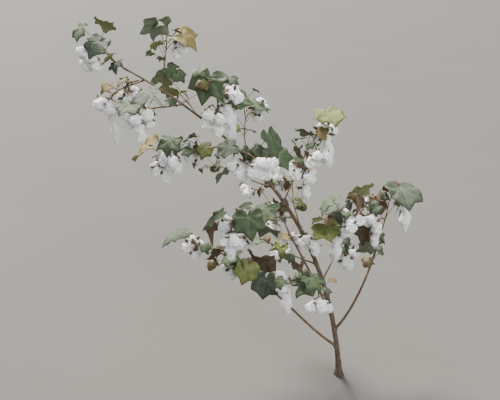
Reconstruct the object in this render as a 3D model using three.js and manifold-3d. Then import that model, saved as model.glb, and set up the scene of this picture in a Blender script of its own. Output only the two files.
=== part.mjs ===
// A cotton plant at picking time, in millimetres, +Z up.
// One main stem rises from a flat cut at the ground and arches over towards -X. Its lowest nodes bear long
// vegetative limbs, and the nodes above them shorter fruiting limbs, each a fixed turn round the stem from the
// one before.
// Every limb is a bough that ends in a mass: a zigzag stem whose nodes bear lobed leaves on stalks, and bolls,
// most of them open. The top limbs have no bough, and the crown grows on from the stem's tip.
// The origin is the centre of the cut under the main stem, and +Y points away from someone who stands in front.
import * as THREE from "three";
import { mergeVertices } from "three/addons/utils/BufferGeometryUtils.js";
import Module from "manifold-3d";

const wasm = await Module();
wasm.setup();

// Main stem. Slopes are in degrees above level.
const STEM_LENGTH = 1200;
const STEM_FOOT_SLOPE = 85;
const STEM_TIP_SLOPE = 27;
const STEM_ARCH_POWER = 1.15;
const STEM_SWAY = 7;
const STEM_SWAY_WAVES = 1.1;
const STEM_SWAY_START = 0.08;
const STEM_FOOT_RADIUS = 8.5;
const STEM_TIP_RADIUS = 2.4;
const STEM_TAPER_POWER = 0.9;
const ROOT_FLARE = 6.5;
const ROOT_FLARE_HEIGHT = 20;
const STEM_BELOW_CUT = 24;
const STEM_RINGS = 26;
const STEM_RING_POWER = 1.25;
const STEM_SIDES = 9;

// Nodes up the main stem, counted from the lowest. Turns are in degrees round the stem, 0 on its upper side.
const NODE_COUNT = 19;
const VEGETATIVE_COUNT = 3;
const BOUGH_COUNT = 13;
const FIRST_NODE = 105;
const NODE_GAP = 58;
const FIRST_TURN = 205;
const TURN_PER_NODE = 137.5;
const TURN_SCATTER = 12;

// Vegetative limbs. A pull turns a limb's heading as it grows, by so much per millimetre: it lifts the near
// end, sags the far end under its bolls, and leans the whole towards the side that the stem arches to.
const VEGETATIVE_LENGTH = 560;
const VEGETATIVE_SHORTENING = 45;
const VEGETATIVE_BOUGH_SHARE = 0.46;
const VEGETATIVE_INTERNODE = 62;
const VEGETATIVE_ANGLE = 46;
const VEGETATIVE_RADIUS = 4.6;
const VEGETATIVE_PULL = { lift: 0.0034, sag: 0.0036, lean: 0.0007 };

// Fruiting limbs. The first share of the length is the bough, and the rest are internodes.
const FRUITING_LONGEST = 300;
const FRUITING_SHORTEST = 130;
const FRUITING_SCATTER = 0.1;
const FRUITING_SHARES = [0.2, 0.16, 0.26, 0.21, 0.17];
const FRUITING_ANGLE = 60;
const FRUITING_RADII = [3.1, 2.2];
const FRUITING_PULL = { lift: 0.005, sag: 0.008, lean: 0 };
const SHORT_FROM = 0.6;
const ZIGZAG = 15;

const CROWN_INTERNODES = [46, 40, 34];
const CROWN_PULL = { lift: 0.006, sag: -0.002, lean: 0 };
const CROWN_LEAF_SCALE = 0.8;

// Thin parts, and how far behind a node's point its stalks are rooted in the stem
const BOUGH_END_SHARE = 0.72;
const BOUGH_SIDES = 6;
const MASS_TIP_RADIUS = 1.3;
const LEAF_STALK_RADIUS = 1.25;
const BOLL_STALK_RADII = [1.75, 2.4];
const LEAF_ROOT = 2.1;
const BOLL_ROOT = 1.2;

// Leaves. Half of the outline is [degrees from the midrib, share of the midrib's length] for each point.
const LEAF_OUTLINE = [
  [0, 1],
  [25, 0.7],
  [52, 0.9],
  [84, 0.62],
  [126, 0.62],
];
const LEAF_LENGTHS = [78, 44];
const BLADE_THICKNESS = 1.2;
const LEAF_CUP = 0.2;
const LEAF_CHANCE = 0.72;
const SECOND_LEAF_CHANCE = 0.32;
const SECOND_LEAF_TURN = 140;
const LEAF_STALK = 74;
const LEAF_STALK_SCATTER = [0.65, 1.15];
const LEAF_OUT = 0.75;
const LEAF_RISE = [0.25, 0.95];
const LEAF_STALK_SAG = 0.12;
const LEAF_TILT = [8, 62];
const LEAF_ROLL = 28;
const LEAF_TURNS = [0, 45, -45, 90, -90, 135, 180];

// Bolls. A lock's rows of points run from its back round its tip to its front, each as a share of its length,
// then of its radius towards the back, and of its radius to each side.
const BOLL_CHANCE = 0.76;
const CLOSED_CHANCE = 0.12;
const FOUR_LOCKS_CHANCE = 0.65;
const HANGING_CHANCE = 0.36;
const BOLL_SCALE = [0.9, 1.1];
const BOLL_STALK = 26;
const BOLL_STALK_SCATTER = [0.8, 1.3];
const BOLL_OUT = [0.5, 0.9];
const BOLL_RISE = [-0.9, -0.1];
const BOLL_NOD = 0.35;
const BOLL_TURNS = [0, 50, -50, 100, -100, 150];
const LOCK_LENGTH = 39;
const LOCK_RADIUS = 17.5;
const LOCK_SPREAD = 52;
const LOCK_START = 5;
const LOCK_SAG = [4, 14];
const LOCK_HANG = [26, 85];
const HANGING_SIDE = 50;
const LINT_BACK = -4;
const LINT_FRONT = 22;
const LOCK_ROWS = [
  [0.3, 0.7, 0.6],
  [0.92, 0.75, 0.85],
  [1.14, -0.15, 0.75],
  [0.75, -0.9, 0.8],
];
const SEAM_REACH = 0.72;
const SEAM_DEPTH = 0.75;
const STALK_ENTRY = 5;
const CLOSED_LENGTH = 34;
const CLOSED_RADIUS = 13;
const CLOSED_PROFILE = [
  [0, 0.45],
  [0.3, 1],
  [0.7, 0.85],
  [1, 0.1],
];

// Clearances. Two pieces that meet stay apart by the first, and what grows keeps the others.
const CLEARANCE = 0.3;
const SPACE_MARGIN = 1.5;
const LIMB_MARGIN = 3;
const GROUND_MARGIN = 12;
const LOCKS_APART = 26;
const LEAF_FROM_LOCK = 22;
const LEAVES_APART = 0.55;

const STEP = 12;
const WELD = 1e-3;
const SEED = 31;
const CROWN_SEED = 70;
const DRAWS_PER_NODE = 20;
const DEGREE = Math.PI / 180;
const UP = new THREE.Vector3(0, 0, 1);
const AWAY = new THREE.Vector3(0, 1, 0);
const ARCH_SIDE = new THREE.Vector3(-1, 0, 0);

const bark = new THREE.MeshStandardMaterial({ color: 0x7b5f4b, roughness: 0.85, metalness: 0 });
const foliage = new THREE.MeshStandardMaterial({ color: 0xa9b09a, roughness: 0.8, metalness: 0 });

// Random numbers from 0 to 1, the same ones each time for one seed
function drawsFrom(seed) {
  let state = (seed * 7919 + 12345) % 2 ** 32;
  return () => {
    state = (state * 1664525 + 1013904223) % 2 ** 32;
    return state / 2 ** 32;
  };
}

const mix = (a, b, share) => a + (b - a) * share;
const turned = (vector, axis, degrees) => vector.clone().applyAxisAngle(axis, degrees * DEGREE);
const sum = (...terms) =>
  terms.reduce((total, [vector, share]) => total.addScaledVector(vector, share), new THREE.Vector3());

// A direction square to a heading: level, unless the heading is upright
function sideOf(heading) {
  const side = new THREE.Vector3().crossVectors(heading, UP);
  return side.length() > 0.05 ? side.normalize() : AWAY.clone();
}

// A line of points a step apart, whose heading a pull turns at each step
function grow(start, heading, length, pullAt) {
  const count = Math.max(2, Math.round(length / STEP));
  const step = length / count;
  const way = heading.clone().normalize();
  const points = [start.clone()];
  for (let i = 0; i < count; i++) {
    way.addScaledVector(pullAt((i + 0.5) / count), step).normalize();
    points.push(points[i].clone().addScaledVector(way, step));
  }
  return { points, heading: way };
}

// The point and heading that lie a distance along a line of evenly spaced points
function along(points, distance) {
  const step = points[1].distanceTo(points[0]);
  const place = Math.min(distance / step, points.length - 1 - 1e-9);
  const i = Math.floor(place);
  const heading = points[i + 1].clone().sub(points[i]).normalize();
  return { point: points[i].clone().lerp(points[i + 1], place - i), heading };
}

// The main stem's line: its slope falls from foot to tip, and it sways a little towards and away
function stemLine() {
  const count = Math.round(STEM_LENGTH / STEP);
  const step = STEM_LENGTH / count;
  const points = [new THREE.Vector3()];
  for (let i = 0; i < count; i++) {
    const t = (i + 0.5) / count;
    const slope = mix(STEM_FOOT_SLOPE, STEM_TIP_SLOPE, t ** STEM_ARCH_POWER) * DEGREE;
    const sway = STEM_SWAY * DEGREE * Math.sin(2 * Math.PI * (STEM_SWAY_WAVES * t + STEM_SWAY_START));
    const way = new THREE.Vector3(-Math.cos(slope), Math.sin(sway), Math.sin(slope)).normalize();
    points.push(points[i].clone().addScaledVector(way, step));
  }
  return points;
}

const stemRadius = (distance) =>
  mix(STEM_FOOT_RADIUS, STEM_TIP_RADIUS, (distance / STEM_LENGTH) ** STEM_TAPER_POWER) +
  ROOT_FLARE * Math.exp(-distance / ROOT_FLARE_HEIGHT);

// The heading of a limb that leaves the main stem at an angle, on the side that a turn round the stem gives
function limbHeading(stemHeading, angle, turn) {
  const across = sum([AWAY, 1], [stemHeading, -AWAY.dot(stemHeading)]).normalize();
  const above = new THREE.Vector3().crossVectors(across, stemHeading);
  const side = sum([above, Math.cos(turn * DEGREE)], [across, Math.sin(turn * DEGREE)]);
  return sum([stemHeading, Math.cos(angle * DEGREE)], [side, Math.sin(angle * DEGREE)]);
}

// The lines of one limb: its bough, then its mass's internodes, which turn left and right from node to node.
// A length of 0 leaves the bough out.
function growLimb(start, heading, boughLength, internodes, { lift, sag, lean }) {
  const whole = internodes.reduce((a, b) => a + b, boughLength);
  let done = 0;
  const piece = (from, way, length) => {
    const pullAt = (t) => sum([UP, mix(lift, -sag, (done + t * length) / whole)], [ARCH_SIDE, lean]);
    const made = grow(from, way, length, pullAt);
    done += length;
    return made;
  };
  const bough = boughLength > 0 ? piece(start, heading, boughLength) : { points: [start], heading };
  let way = bough.heading;
  const line = [bough.points.at(-1)];
  const corners = [line[0]];
  const nodes = [];
  internodes.forEach((length, i) => {
    const turn = i === 0 ? 0 : ZIGZAG * (i % 2 ? -1 : 1);
    const made = piece(line.at(-1), turned(way, UP, turn), length);
    line.push(...made.points.slice(1));
    corners.push(made.points[Math.floor(made.points.length / 2)], line.at(-1));
    way = made.heading;
    nodes.push({ point: line.at(-1), heading: way, side: i % 2 ? 1 : -1 });
  });
  return { bough: bough.points, line, corners, nodes };
}

function growVegetative(k, at, turn, draw) {
  const length = VEGETATIVE_LENGTH - VEGETATIVE_SHORTENING * k;
  const boughLength = length * VEGETATIVE_BOUGH_SHARE;
  const count = Math.round((length - boughLength) / VEGETATIVE_INTERNODE);
  const internodes = Array.from({ length: count }, () => (length - boughLength) / count);
  const heading = limbHeading(at.heading, VEGETATIVE_ANGLE, turn);
  const lines = growLimb(at.point, heading, boughLength, internodes, VEGETATIVE_PULL);
  return { ...lines, name: `vegetative_${k + 1}`, radius: VEGETATIVE_RADIUS, leafScale: 1, draw };
}

function growFruiting(k, at, turn, draw) {
  const number = k - VEGETATIVE_COUNT;
  const height = number / (NODE_COUNT - 1 - VEGETATIVE_COUNT);
  const scatter = mix(1 - FRUITING_SCATTER, 1 + FRUITING_SCATTER, draw());
  const length = mix(FRUITING_LONGEST, FRUITING_SHORTEST, height ** 1.2) * scatter;
  const shares = FRUITING_SHARES.slice(0, height > SHORT_FROM ? -1 : undefined);
  const whole = shares.reduce((a, b) => a + b, 0);
  let [boughLength, ...internodes] = shares.map((share) => (length * share) / whole);
  if (k >= BOUGH_COUNT) {
    internodes = [boughLength + internodes[0], ...internodes.slice(1)];
    boughLength = 0;
  }
  const heading = limbHeading(at.heading, FRUITING_ANGLE, turn);
  const lines = growLimb(at.point, heading, boughLength, internodes, FRUITING_PULL);
  const name = `fruiting_${String(number + 1).padStart(2, "0")}`;
  return { ...lines, name, radius: mix(...FRUITING_RADII, height), leafScale: 1, draw };
}

// The lines of all limbs, before anything is hung on them
function growLimbs(stem) {
  const limbs = [];
  for (let k = 0; k < NODE_COUNT; k++) {
    const draw = drawsFrom(SEED + k);
    const at = along(stem, FIRST_NODE + k * NODE_GAP);
    const turn = FIRST_TURN + TURN_PER_NODE * k + mix(-TURN_SCATTER, TURN_SCATTER, draw());
    limbs.push(k < VEGETATIVE_COUNT ? growVegetative(k, at, turn, draw) : growFruiting(k, at, turn, draw));
  }
  const tip = along(stem, STEM_LENGTH);
  const crown = growLimb(tip.point, tip.heading, 0, CROWN_INTERNODES, CROWN_PULL);
  const draw = drawsFrom(CROWN_SEED);
  limbs.push({ ...crown, name: "crown", radius: STEM_TIP_RADIUS, leafScale: CROWN_LEAF_SCALE, draw });
  return limbs;
}

// A point of a lock's middle line: out of the bur its own way, then down under its weight
const lockPoint = (boll, lock, t) =>
  sum(
    [boll.centre, 1],
    [boll.axis, LOCK_START],
    [lock.way, LOCK_LENGTH * boll.scale * t * (1.25 - 0.35 * t)],
    [UP, -lock.hang * t * t],
  );

// A boll on its stalk. It nods, and its locks stand round its axis. In some, the lowest ones hang far down.
function makeBoll(node, draws, turn) {
  const outward = turned(sum([sideOf(node.heading), -node.side], [node.heading, 0.5]), UP, turn);
  const way = sum([outward, mix(...BOLL_OUT, draws[1])], [UP, mix(...BOLL_RISE, draws[2])]).normalize();
  const centre = sum([node.point, 1], [way, BOLL_STALK * mix(...BOLL_STALK_SCATTER, draws[3])]);
  const axis = sum([way, 1], [UP, -BOLL_NOD]).normalize();
  const count = draws[5] < FOUR_LOCKS_CHANCE ? 4 : 5;
  const side = sideOf(axis);
  const other = new THREE.Vector3().crossVectors(side, axis);
  const down = sum([UP, -1], [axis, axis.z]).normalize();
  const locks = Array.from({ length: count }, (_, i) => {
    const angle = ((i + draws[6]) / count) * 2 * Math.PI;
    const spread = sum([side, Math.cos(angle)], [other, Math.sin(angle)]);
    const hangs = draws[7] < HANGING_CHANCE && spread.dot(down) > Math.cos(HANGING_SIDE * DEGREE);
    const hang = mix(...(hangs ? LOCK_HANG : LOCK_SAG), (draws[7] * 97 + i * 0.618) % 1);
    const opened = LOCK_SPREAD * DEGREE;
    return { way: sum([axis, Math.cos(opened)], [spread, Math.sin(opened)]), hang };
  });
  const root = sum([node.point, 1], [node.heading, -BOLL_ROOT]);
  return { root, centre, axis, locks, closed: draws[4] < CLOSED_CHANCE, scale: mix(...BOLL_SCALE, draws[8]) };
}

// A leaf on its stalk, which rises outward. The blade hangs level to steep from the stalk's end.
function makeLeaf(node, draws, turn, length) {
  const outward = turned(sum([sideOf(node.heading), node.side], [node.heading, 0.6]), UP, turn).normalize();
  const level = outward.clone().setZ(0).normalize();
  const way = sum([outward, LEAF_OUT], [UP, mix(...LEAF_RISE, draws[1])]).normalize();
  const stalk = LEAF_STALK * mix(...LEAF_STALK_SCATTER, draws[2]);
  const end = sum([node.point, 1], [way, stalk], [UP, -stalk * LEAF_STALK_SAG]);
  const tilt = mix(...LEAF_TILT, draws[3]) * DEGREE;
  const midrib = sum([level, Math.cos(tilt)], [UP, -Math.sin(tilt)]);
  const roll = mix(-LEAF_ROLL, LEAF_ROLL, draws[4]);
  const normal = turned(sum([level, Math.sin(tilt)], [UP, Math.cos(tilt)]), midrib, roll);
  const across = new THREE.Vector3().crossVectors(normal, midrib);
  const root = sum([node.point, 1], [node.heading, -LEAF_ROOT]);
  return { root, end, midrib, normal, across, length };
}

// The points of a blade's outline in turn. The further out, the lower it lies, so that the blade is cupped.
function leafOutline(leaf) {
  const other = LEAF_OUTLINE.slice(1).reverse().map(([angle, share]) => [-angle, share]);
  return [...LEAF_OUTLINE, ...other].map(([angle, share]) =>
    sum(
      [leaf.end, 1],
      [leaf.midrib, Math.cos(angle * DEGREE) * share * leaf.length],
      [leaf.across, Math.sin(angle * DEGREE) * share * leaf.length],
      [leaf.normal, -LEAF_CUP * share * share * leaf.length],
    ),
  );
}

// The middles of a boll's locks, which others keep clear of
const ballsOf = (boll) =>
  boll.closed
    ? [sum([boll.centre, 1], [boll.axis, CLOSED_LENGTH / 2])]
    : boll.locks.flatMap((lock) => [lockPoint(boll, lock, 0.45), lockPoint(boll, lock, 0.95)]);

// The furthest points of a boll each way, for the test of its space
function bollReach(boll) {
  if (boll.closed) return [boll.centre, sum([boll.centre, 1], [boll.axis, CLOSED_LENGTH])];
  const reach = boll.locks.flatMap((lock) => {
    const side = sideOf(lock.way);
    return [0.5, 1].flatMap((t) => {
      const middle = lockPoint(boll, lock, t);
      const ways = [UP.clone().negate(), lock.way.clone().multiplyScalar(0.6), side, side.clone().negate()];
      return [middle, ...ways.map((way) => sum([middle, 1], [way, LOCK_RADIUS * 0.85]))];
    });
  });
  return [boll.centre, ...reach];
}

// Whether points lie in a mass's own space: nearer to its own line than to another's, and clear of limbs and
// ground
function inSpace(points, own, limbs, limbSites) {
  const distanceTo = (line, p) => line.reduce((least, q) => Math.min(least, p.distanceTo(q)), Infinity);
  return points.every((p) => {
    if (p.z < GROUND_MARGIN) return false;
    const least = distanceTo(own.line, p) + SPACE_MARGIN;
    if (limbs.some((other) => other !== own && distanceTo(other.line, p) < least)) return false;
    return limbSites.every((site) => p.distanceTo(site.point) > site.radius + LIMB_MARGIN);
  });
}

// Hangs bolls and leaves on a mass's nodes. Each is tried on a few sides, and is left out where none is free.
function furnish(mass, limbs, limbSites) {
  mass.leaves = [];
  mass.bolls = [];
  const fits = (points) => inSpace(points, mass, limbs, limbSites);
  const clear = (points, gap) =>
    points.every((p) => mass.bolls.flatMap(ballsOf).every((ball) => ball.distanceTo(p) > gap));
  for (const node of mass.nodes) {
    const draws = Array.from({ length: DRAWS_PER_NODE }, mass.draw);
    if (draws[0] < BOLL_CHANCE) {
      const tries = BOLL_TURNS.map((turn) => makeBoll(node, draws, turn));
      const boll = tries.find((b) => fits(bollReach(b)) && clear(ballsOf(b), LOCKS_APART));
      if (boll) mass.bolls.push(boll);
    }
    for (const second of [0, 1]) {
      if (draws[15 + 2 * second] > (second ? SECOND_LEAF_CHANCE : LEAF_CHANCE)) continue;
      const own = draws.slice(9, 15).map((draw) => (draw + 0.62 * second) % 1);
      const length = mix(...LEAF_LENGTHS, draws[16 + 2 * second]) * mass.leafScale;
      const tries = LEAF_TURNS.map((turn) => makeLeaf(node, own, turn + SECOND_LEAF_TURN * second, length));
      const apart = (a, b) => a.end.distanceTo(b.end) > (a.length + b.length) * LEAVES_APART;
      const leaf = tries.find((l) => {
        const reach = leafOutline(l);
        const uncrowded = clear(reach, LEAF_FROM_LOCK) && mass.leaves.every((m) => apart(l, m));
        return uncrowded && fits([l.end, ...reach]);
      });
      if (leaf) mass.leaves.push(leaf);
    }
  }
}

// A closed tube along a line of points, from a cylinder whose rings are moved onto it
function tube(points, radii, sides) {
  const last = points.length - 1;
  const geometry = new THREE.CylinderGeometry(1, 1, 1, sides, last);
  const headings = points.map((p, i) =>
    sum([points[Math.min(i + 1, last)], 1], [points[Math.max(i - 1, 0)], -1]).normalize(),
  );
  const firsts = [sideOf(headings[0])];
  for (let i = 1; i <= last; i++) {
    firsts.push(sum([firsts[i - 1], 1], [headings[i], -firsts[i - 1].dot(headings[i])]).normalize());
  }
  const place = geometry.attributes.position;
  for (let v = 0; v < place.count; v++) {
    const i = Math.round((0.5 - place.getY(v)) * last);
    const second = new THREE.Vector3().crossVectors(headings[i], firsts[i]);
    const [x, z] = [place.getX(v) * radii[i], place.getZ(v) * radii[i]];
    const moved = sum([points[i], 1], [firsts[i], x], [second, z]);
    place.setXYZ(v, moved.x, moved.y, moved.z);
  }
  return geometry;
}

const taperedTube = (points, from, to, sides) =>
  tube(points, points.map((p, i) => mix(from, to, i / (points.length - 1))), sides);

function solidOf(geometry) {
  geometry.deleteAttribute("normal");
  geometry.deleteAttribute("uv");
  const merged = mergeVertices(geometry, WELD);
  const vertProperties = new Float32Array(merged.attributes.position.array);
  const triVerts = new Uint32Array(merged.index.array);
  return new wasm.Manifold(new wasm.Mesh({ numProp: 3, vertProperties, triVerts }));
}

function geometryOf(solid) {
  const made = solid.getMesh();
  const geometry = new THREE.BufferGeometry();
  geometry.setAttribute("position", new THREE.BufferAttribute(new Float32Array(made.vertProperties), 3));
  return geometry.setIndex(new THREE.BufferAttribute(new Uint32Array(made.triVerts), 1));
}

// A solid's largest shell alone: hollows that joining sealed are filled, and loose scraps dropped
const outerShell = (solid) => solid.decompose().reduce((a, b) => (b.volume() > a.volume() ? b : a));

// A named mesh of a solid, in which points closer than the weld are one
function meshOf(solid, name, material) {
  const geometry = geometryOf(outerShell(solidOf(geometryOf(solid))));
  geometry.computeVertexNormals();
  const mesh = new THREE.Mesh(geometry, material);
  mesh.name = name;
  return mesh;
}

// A blade with its stalk: a disc whose rim is moved out to the leaf's outline, and back along the stalk to its
// root
function leafSolid(leaf) {
  const way = sum([leaf.end, 1], [leaf.root, -1]).normalize();
  const up = new THREE.Vector3().crossVectors(way, leaf.across).normalize();
  const half = LEAF_STALK_RADIUS;
  const neck = sum([leaf.end, 1], [way, -2 * half]);
  const ends = [[neck, half], [leaf.root, half], [leaf.root, -half], [neck, -half]];
  const stalk = ends.map(([from, side]) => ({ at: sum([from, 1], [leaf.across, side]), up, half }));
  const blade = leafOutline(leaf).map((at) => ({ at, up: leaf.normal, half: BLADE_THICKNESS / 2 }));
  const rim = [...blade.slice(0, LEAF_OUTLINE.length), ...stalk, ...blade.slice(LEAF_OUTLINE.length)];
  const middle = { at: leaf.end, up: leaf.normal, half };
  const geometry = new THREE.CylinderGeometry(1, 1, 1, rim.length, 1);
  const place = geometry.attributes.position;
  for (let v = 0; v < place.count; v++) {
    const [x, y, z] = [place.getX(v), place.getY(v), place.getZ(v)];
    const number = Math.round((Math.atan2(x, z) / (2 * Math.PI) + 1) * rim.length) % rim.length;
    const point = Math.hypot(x, z) < 0.5 ? middle : rim[number];
    const moved = sum([point.at, 1], [point.up, 2 * y * point.half]);
    place.setXYZ(v, moved.x, moved.y, moved.z);
  }
  return solidOf(geometry);
}

// A point on an open boll's lint. Each lock has three columns of points: the seam before it, then its two
// flanks.
function lintPoint(boll, row, column) {
  const count = boll.locks.length;
  const number = Math.floor(column / 3);
  const lock = boll.locks[number];
  const [reach, back, width] = LOCK_ROWS[row - 1];
  const before = boll.locks[(number + count - 1) % count];
  const seam = column % 3 === 0;
  const line = seam
    ? { way: sum([lock.way, 1], [before.way, 1]).normalize(), hang: Math.min(lock.hang, before.hang) / 2 }
    : lock;
  const t = seam ? reach * SEAM_REACH : reach;
  const heading = lockPoint(boll, line, t + 0.01).sub(lockPoint(boll, line, t - 0.01)).normalize();
  const side = new THREE.Vector3().crossVectors(boll.axis, line.way).normalize();
  const front = new THREE.Vector3().crossVectors(heading, side).normalize();
  const radius = LOCK_RADIUS * boll.scale * Math.sqrt(4 / count);
  const sideways = seam ? 0 : (column % 3 === 1 ? 1 : -1) * width * radius;
  const depth = -back * radius * (seam ? SEAM_DEPTH : 1);
  return sum([lockPoint(boll, line, t), 1], [front, depth], [side, sideways]);
}

// The lint of an open boll: a ball whose rows and columns of points are moved onto its locks
function lintSolid(boll) {
  const columns = 3 * boll.locks.length;
  const rows = LOCK_ROWS.length + 1;
  const geometry = new THREE.SphereGeometry(1, columns, rows);
  const { position, uv } = geometry.attributes;
  for (let v = 0; v < position.count; v++) {
    const row = Math.round((1 - uv.getY(v)) * rows);
    const column = Math.round(uv.getX(v) * columns) % columns;
    const pole = sum([boll.centre, 1], [boll.axis, row === 0 ? LINT_BACK : LINT_FRONT]);
    const moved = row === 0 || row === rows ? pole : lintPoint(boll, row, column);
    position.setXYZ(v, moved.x, moved.y, moved.z);
  }
  return solidOf(geometry);
}

// A boll's stalk, then its lint or its closed capsule. The stalk enters beside the middle, where few faces
// meet.
function bollSolids(boll) {
  const tip = sum([boll.centre, 1], [boll.axis, -LINT_BACK], [boll.locks[0].way, STALK_ENTRY]);
  const stalk = solidOf(taperedTube([boll.root, tip], ...BOLL_STALK_RADII, 3));
  if (!boll.closed) return [stalk, lintSolid(boll)];
  const line = CLOSED_PROFILE.map(([t]) => sum([boll.centre, 1], [boll.axis, CLOSED_LENGTH * t - 2]));
  const radii = CLOSED_PROFILE.map(([, share]) => share * CLOSED_RADIUS);
  return [stalk, solidOf(tube(line, radii, 6))];
}

// A mass in one piece: its stem, with each leaf and boll joined on
function massSolid(mass, startRadius) {
  const stem = solidOf(taperedTube(mass.corners, startRadius, MASS_TIP_RADIUS, 4));
  const pieces = [...mass.leaves.map(leafSolid), ...mass.bolls.flatMap(bollSolids)];
  return pieces.reduce((whole, piece) => whole.add(piece), stem);
}

// The room that a limb takes up, with the clearance all round it and past its end
function roomOf(points, radii, sides) {
  const last = points.at(-1);
  const heading = sum([last, 1], [points.at(-2), -1]).normalize();
  const grown = [...radii, radii.at(-1)].map((radius) => radius + CLEARANCE);
  return solidOf(tube([...points, sum([last, 1], [heading, CLEARANCE])], grown, sides));
}

const stem = stemLine();
const limbs = growLimbs(stem);
const limbSites = [
  ...stem.map((point, i) => ({ point, radius: stemRadius((i * STEM_LENGTH) / (stem.length - 1)) })),
  ...limbs.flatMap((limb) => limb.bough.slice(0, -2).map((point) => ({ point, radius: limb.radius }))),
];
for (const limb of limbs) furnish(limb, limbs, limbSites);

const plant = new THREE.Group();
const ringShares = Array.from({ length: STEM_RINGS + 1 }, (_, i) => (i / STEM_RINGS) ** STEM_RING_POWER);
const ringPlaces = ringShares.map((share) => share * STEM_LENGTH);
const below = sum([stem[0], 1], [along(stem, 0).heading, -STEM_BELOW_CUT]);
const stemPoints = [below, ...ringPlaces.map((distance) => along(stem, distance).point)];
const stemRadii = [stemRadius(0), ...ringPlaces.map(stemRadius)];
const stemSolid = solidOf(tube(stemPoints, stemRadii, STEM_SIDES)).trimByPlane([0, 0, 1], 0);
const stemRoom = roomOf(stemPoints, stemRadii, STEM_SIDES);
plant.add(meshOf(stemSolid, "main_stem", bark));

for (const limb of limbs) {
  let room = stemRoom;
  let startRadius = limb.radius;
  if (limb.bough.length > 1) {
    const line = limb.bough.filter((p, i) => i % 3 === 0 || i === limb.bough.length - 1);
    const radii = line.map((p, i) => limb.radius * mix(1, BOUGH_END_SHARE, i / (line.length - 1)));
    plant.add(meshOf(solidOf(tube(line, radii, BOUGH_SIDES)).subtract(stemRoom), `${limb.name}_bough`, bark));
    room = roomOf(line, radii, BOUGH_SIDES);
    startRadius = radii.at(-1);
  }
  plant.add(meshOf(massSolid(limb, startRadius).subtract(room), `${limb.name}_mass`, foliage));
}

export default plant;
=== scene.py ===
"""A cotton plant at picking time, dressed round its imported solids: bark, twigs, leaves, burs and lint.

The plant grows here by the rule of its source, in millimetres, so that each twig, leaf and boll lies where
its solid does. Meshes are made in metres, in the frame of the solids.
"""

import math
from functools import partial

import bpy
import numpy as np
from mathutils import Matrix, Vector


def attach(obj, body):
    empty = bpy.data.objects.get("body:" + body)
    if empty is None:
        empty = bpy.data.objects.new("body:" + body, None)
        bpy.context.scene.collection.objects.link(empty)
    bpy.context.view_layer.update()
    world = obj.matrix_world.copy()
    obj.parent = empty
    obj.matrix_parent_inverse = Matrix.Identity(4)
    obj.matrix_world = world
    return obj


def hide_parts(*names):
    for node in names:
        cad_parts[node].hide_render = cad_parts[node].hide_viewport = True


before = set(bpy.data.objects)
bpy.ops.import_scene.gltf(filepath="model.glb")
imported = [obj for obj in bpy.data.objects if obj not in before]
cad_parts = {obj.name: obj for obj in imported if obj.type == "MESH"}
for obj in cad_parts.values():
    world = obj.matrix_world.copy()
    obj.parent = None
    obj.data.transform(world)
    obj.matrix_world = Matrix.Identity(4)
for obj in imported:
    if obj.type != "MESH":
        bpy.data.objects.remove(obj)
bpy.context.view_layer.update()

# Main stem
# The plant's one woody axis, a season's growth: 17 mm thick over its root flare, 5 mm at the tip, and arched
# over to the left under its bolls. It is rooted in the ground, where it is cut flat. Its dull brown bark is
# ridged along the stem, and swells at each node, where a limb leaves it over an old leaf's scar.
DEGREE = math.pi / 180
UP, AWAY = np.array([0, 0, 1.0]), np.array([0, 1.0, 0])
STEP = 12
STEM_LENGTH, FOOT_RADIUS, TIP_RADIUS, FLARE = 1200, 8.5, 2.4, 6.5
FOOT_SLOPE, TIP_SLOPE, SWAY = 85, 27, 7
FIRST_NODE, NODE_GAP, NODE_COUNT = 105, 58, 19
FIRST_TURN, TURN_PER_NODE = 205, 137.5
STEM_ROWS, STEM_SIDES = 400, 30


def unit(vectors):
    """Each vector over its own length."""
    return vectors / np.linalg.norm(vectors, axis=-1, keepdims=True)


def mix(a, b, share):
    """a at share 0, b at share 1."""
    return a + (b - a) * share


def stem_line():
    """Steps of 12 mm whose slope falls from 85 to 27 degrees, while they sway by up to 7 degrees."""
    count = round(STEM_LENGTH / STEP)
    t = (np.arange(count) + 0.5) / count
    slope = mix(FOOT_SLOPE, TIP_SLOPE, t**1.15) * DEGREE
    sway = SWAY * DEGREE * np.sin(2 * math.pi * (1.1 * t + 0.08))
    ways = unit(np.stack([-np.cos(slope), np.sin(sway), np.sin(slope)], axis=1))
    return np.concatenate([np.zeros((1, 3)), np.cumsum(ways * STEM_LENGTH / count, axis=0)])


def stem_radius(distance):
    """From 8.5 to 2.4 mm with the distance to the power 0.9, and 6.5 mm more that fades every 20 mm."""
    return mix(FOOT_RADIUS, TIP_RADIUS, (distance / STEM_LENGTH) ** 0.9) + FLARE * np.exp(-distance / 20)


def resampled(points, rows):
    """A line's points at even distances along it."""
    gone = np.concatenate([[0], np.cumsum(np.linalg.norm(np.diff(points, axis=0), axis=1))])
    places = np.linspace(0, gone[-1], rows)
    return np.stack([np.interp(places, gone, points[:, i]) for i in range(3)], axis=1)


def ripples(points, size, seed):
    """Smooth unevenness of spread 1: a sum of 14 sine waves about a size long, in seeded directions."""
    chance = np.random.default_rng(seed)
    ways = unit(chance.normal(size=(14, 3))) * chance.uniform(0.75, 1.35, (14, 1))
    phases = chance.uniform(0, 2 * math.pi, 14)
    return np.sin(points @ ways.T * (2 * math.pi / size) + phases).sum(axis=-1) / math.sqrt(7)


def swell(off, width):
    """1 where off is 0, and nothing far from there: exp(-(off / width)^2)."""
    return np.exp(-((off / width) ** 2))


def square_to(headings, vectors):
    """Unit vectors of the parts of vectors that are square to their unit headings."""
    return unit(vectors - headings * (vectors * headings).sum(axis=-1, keepdims=True))


def stacked(*parts):
    """Arrays spread to one shape and stacked on a new last axis."""
    return np.stack(np.broadcast_arrays(*parts), axis=-1)


def angles_round(sides):
    """Even angles once round, from 0."""
    return 2 * math.pi * np.arange(sides) / sides


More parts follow.
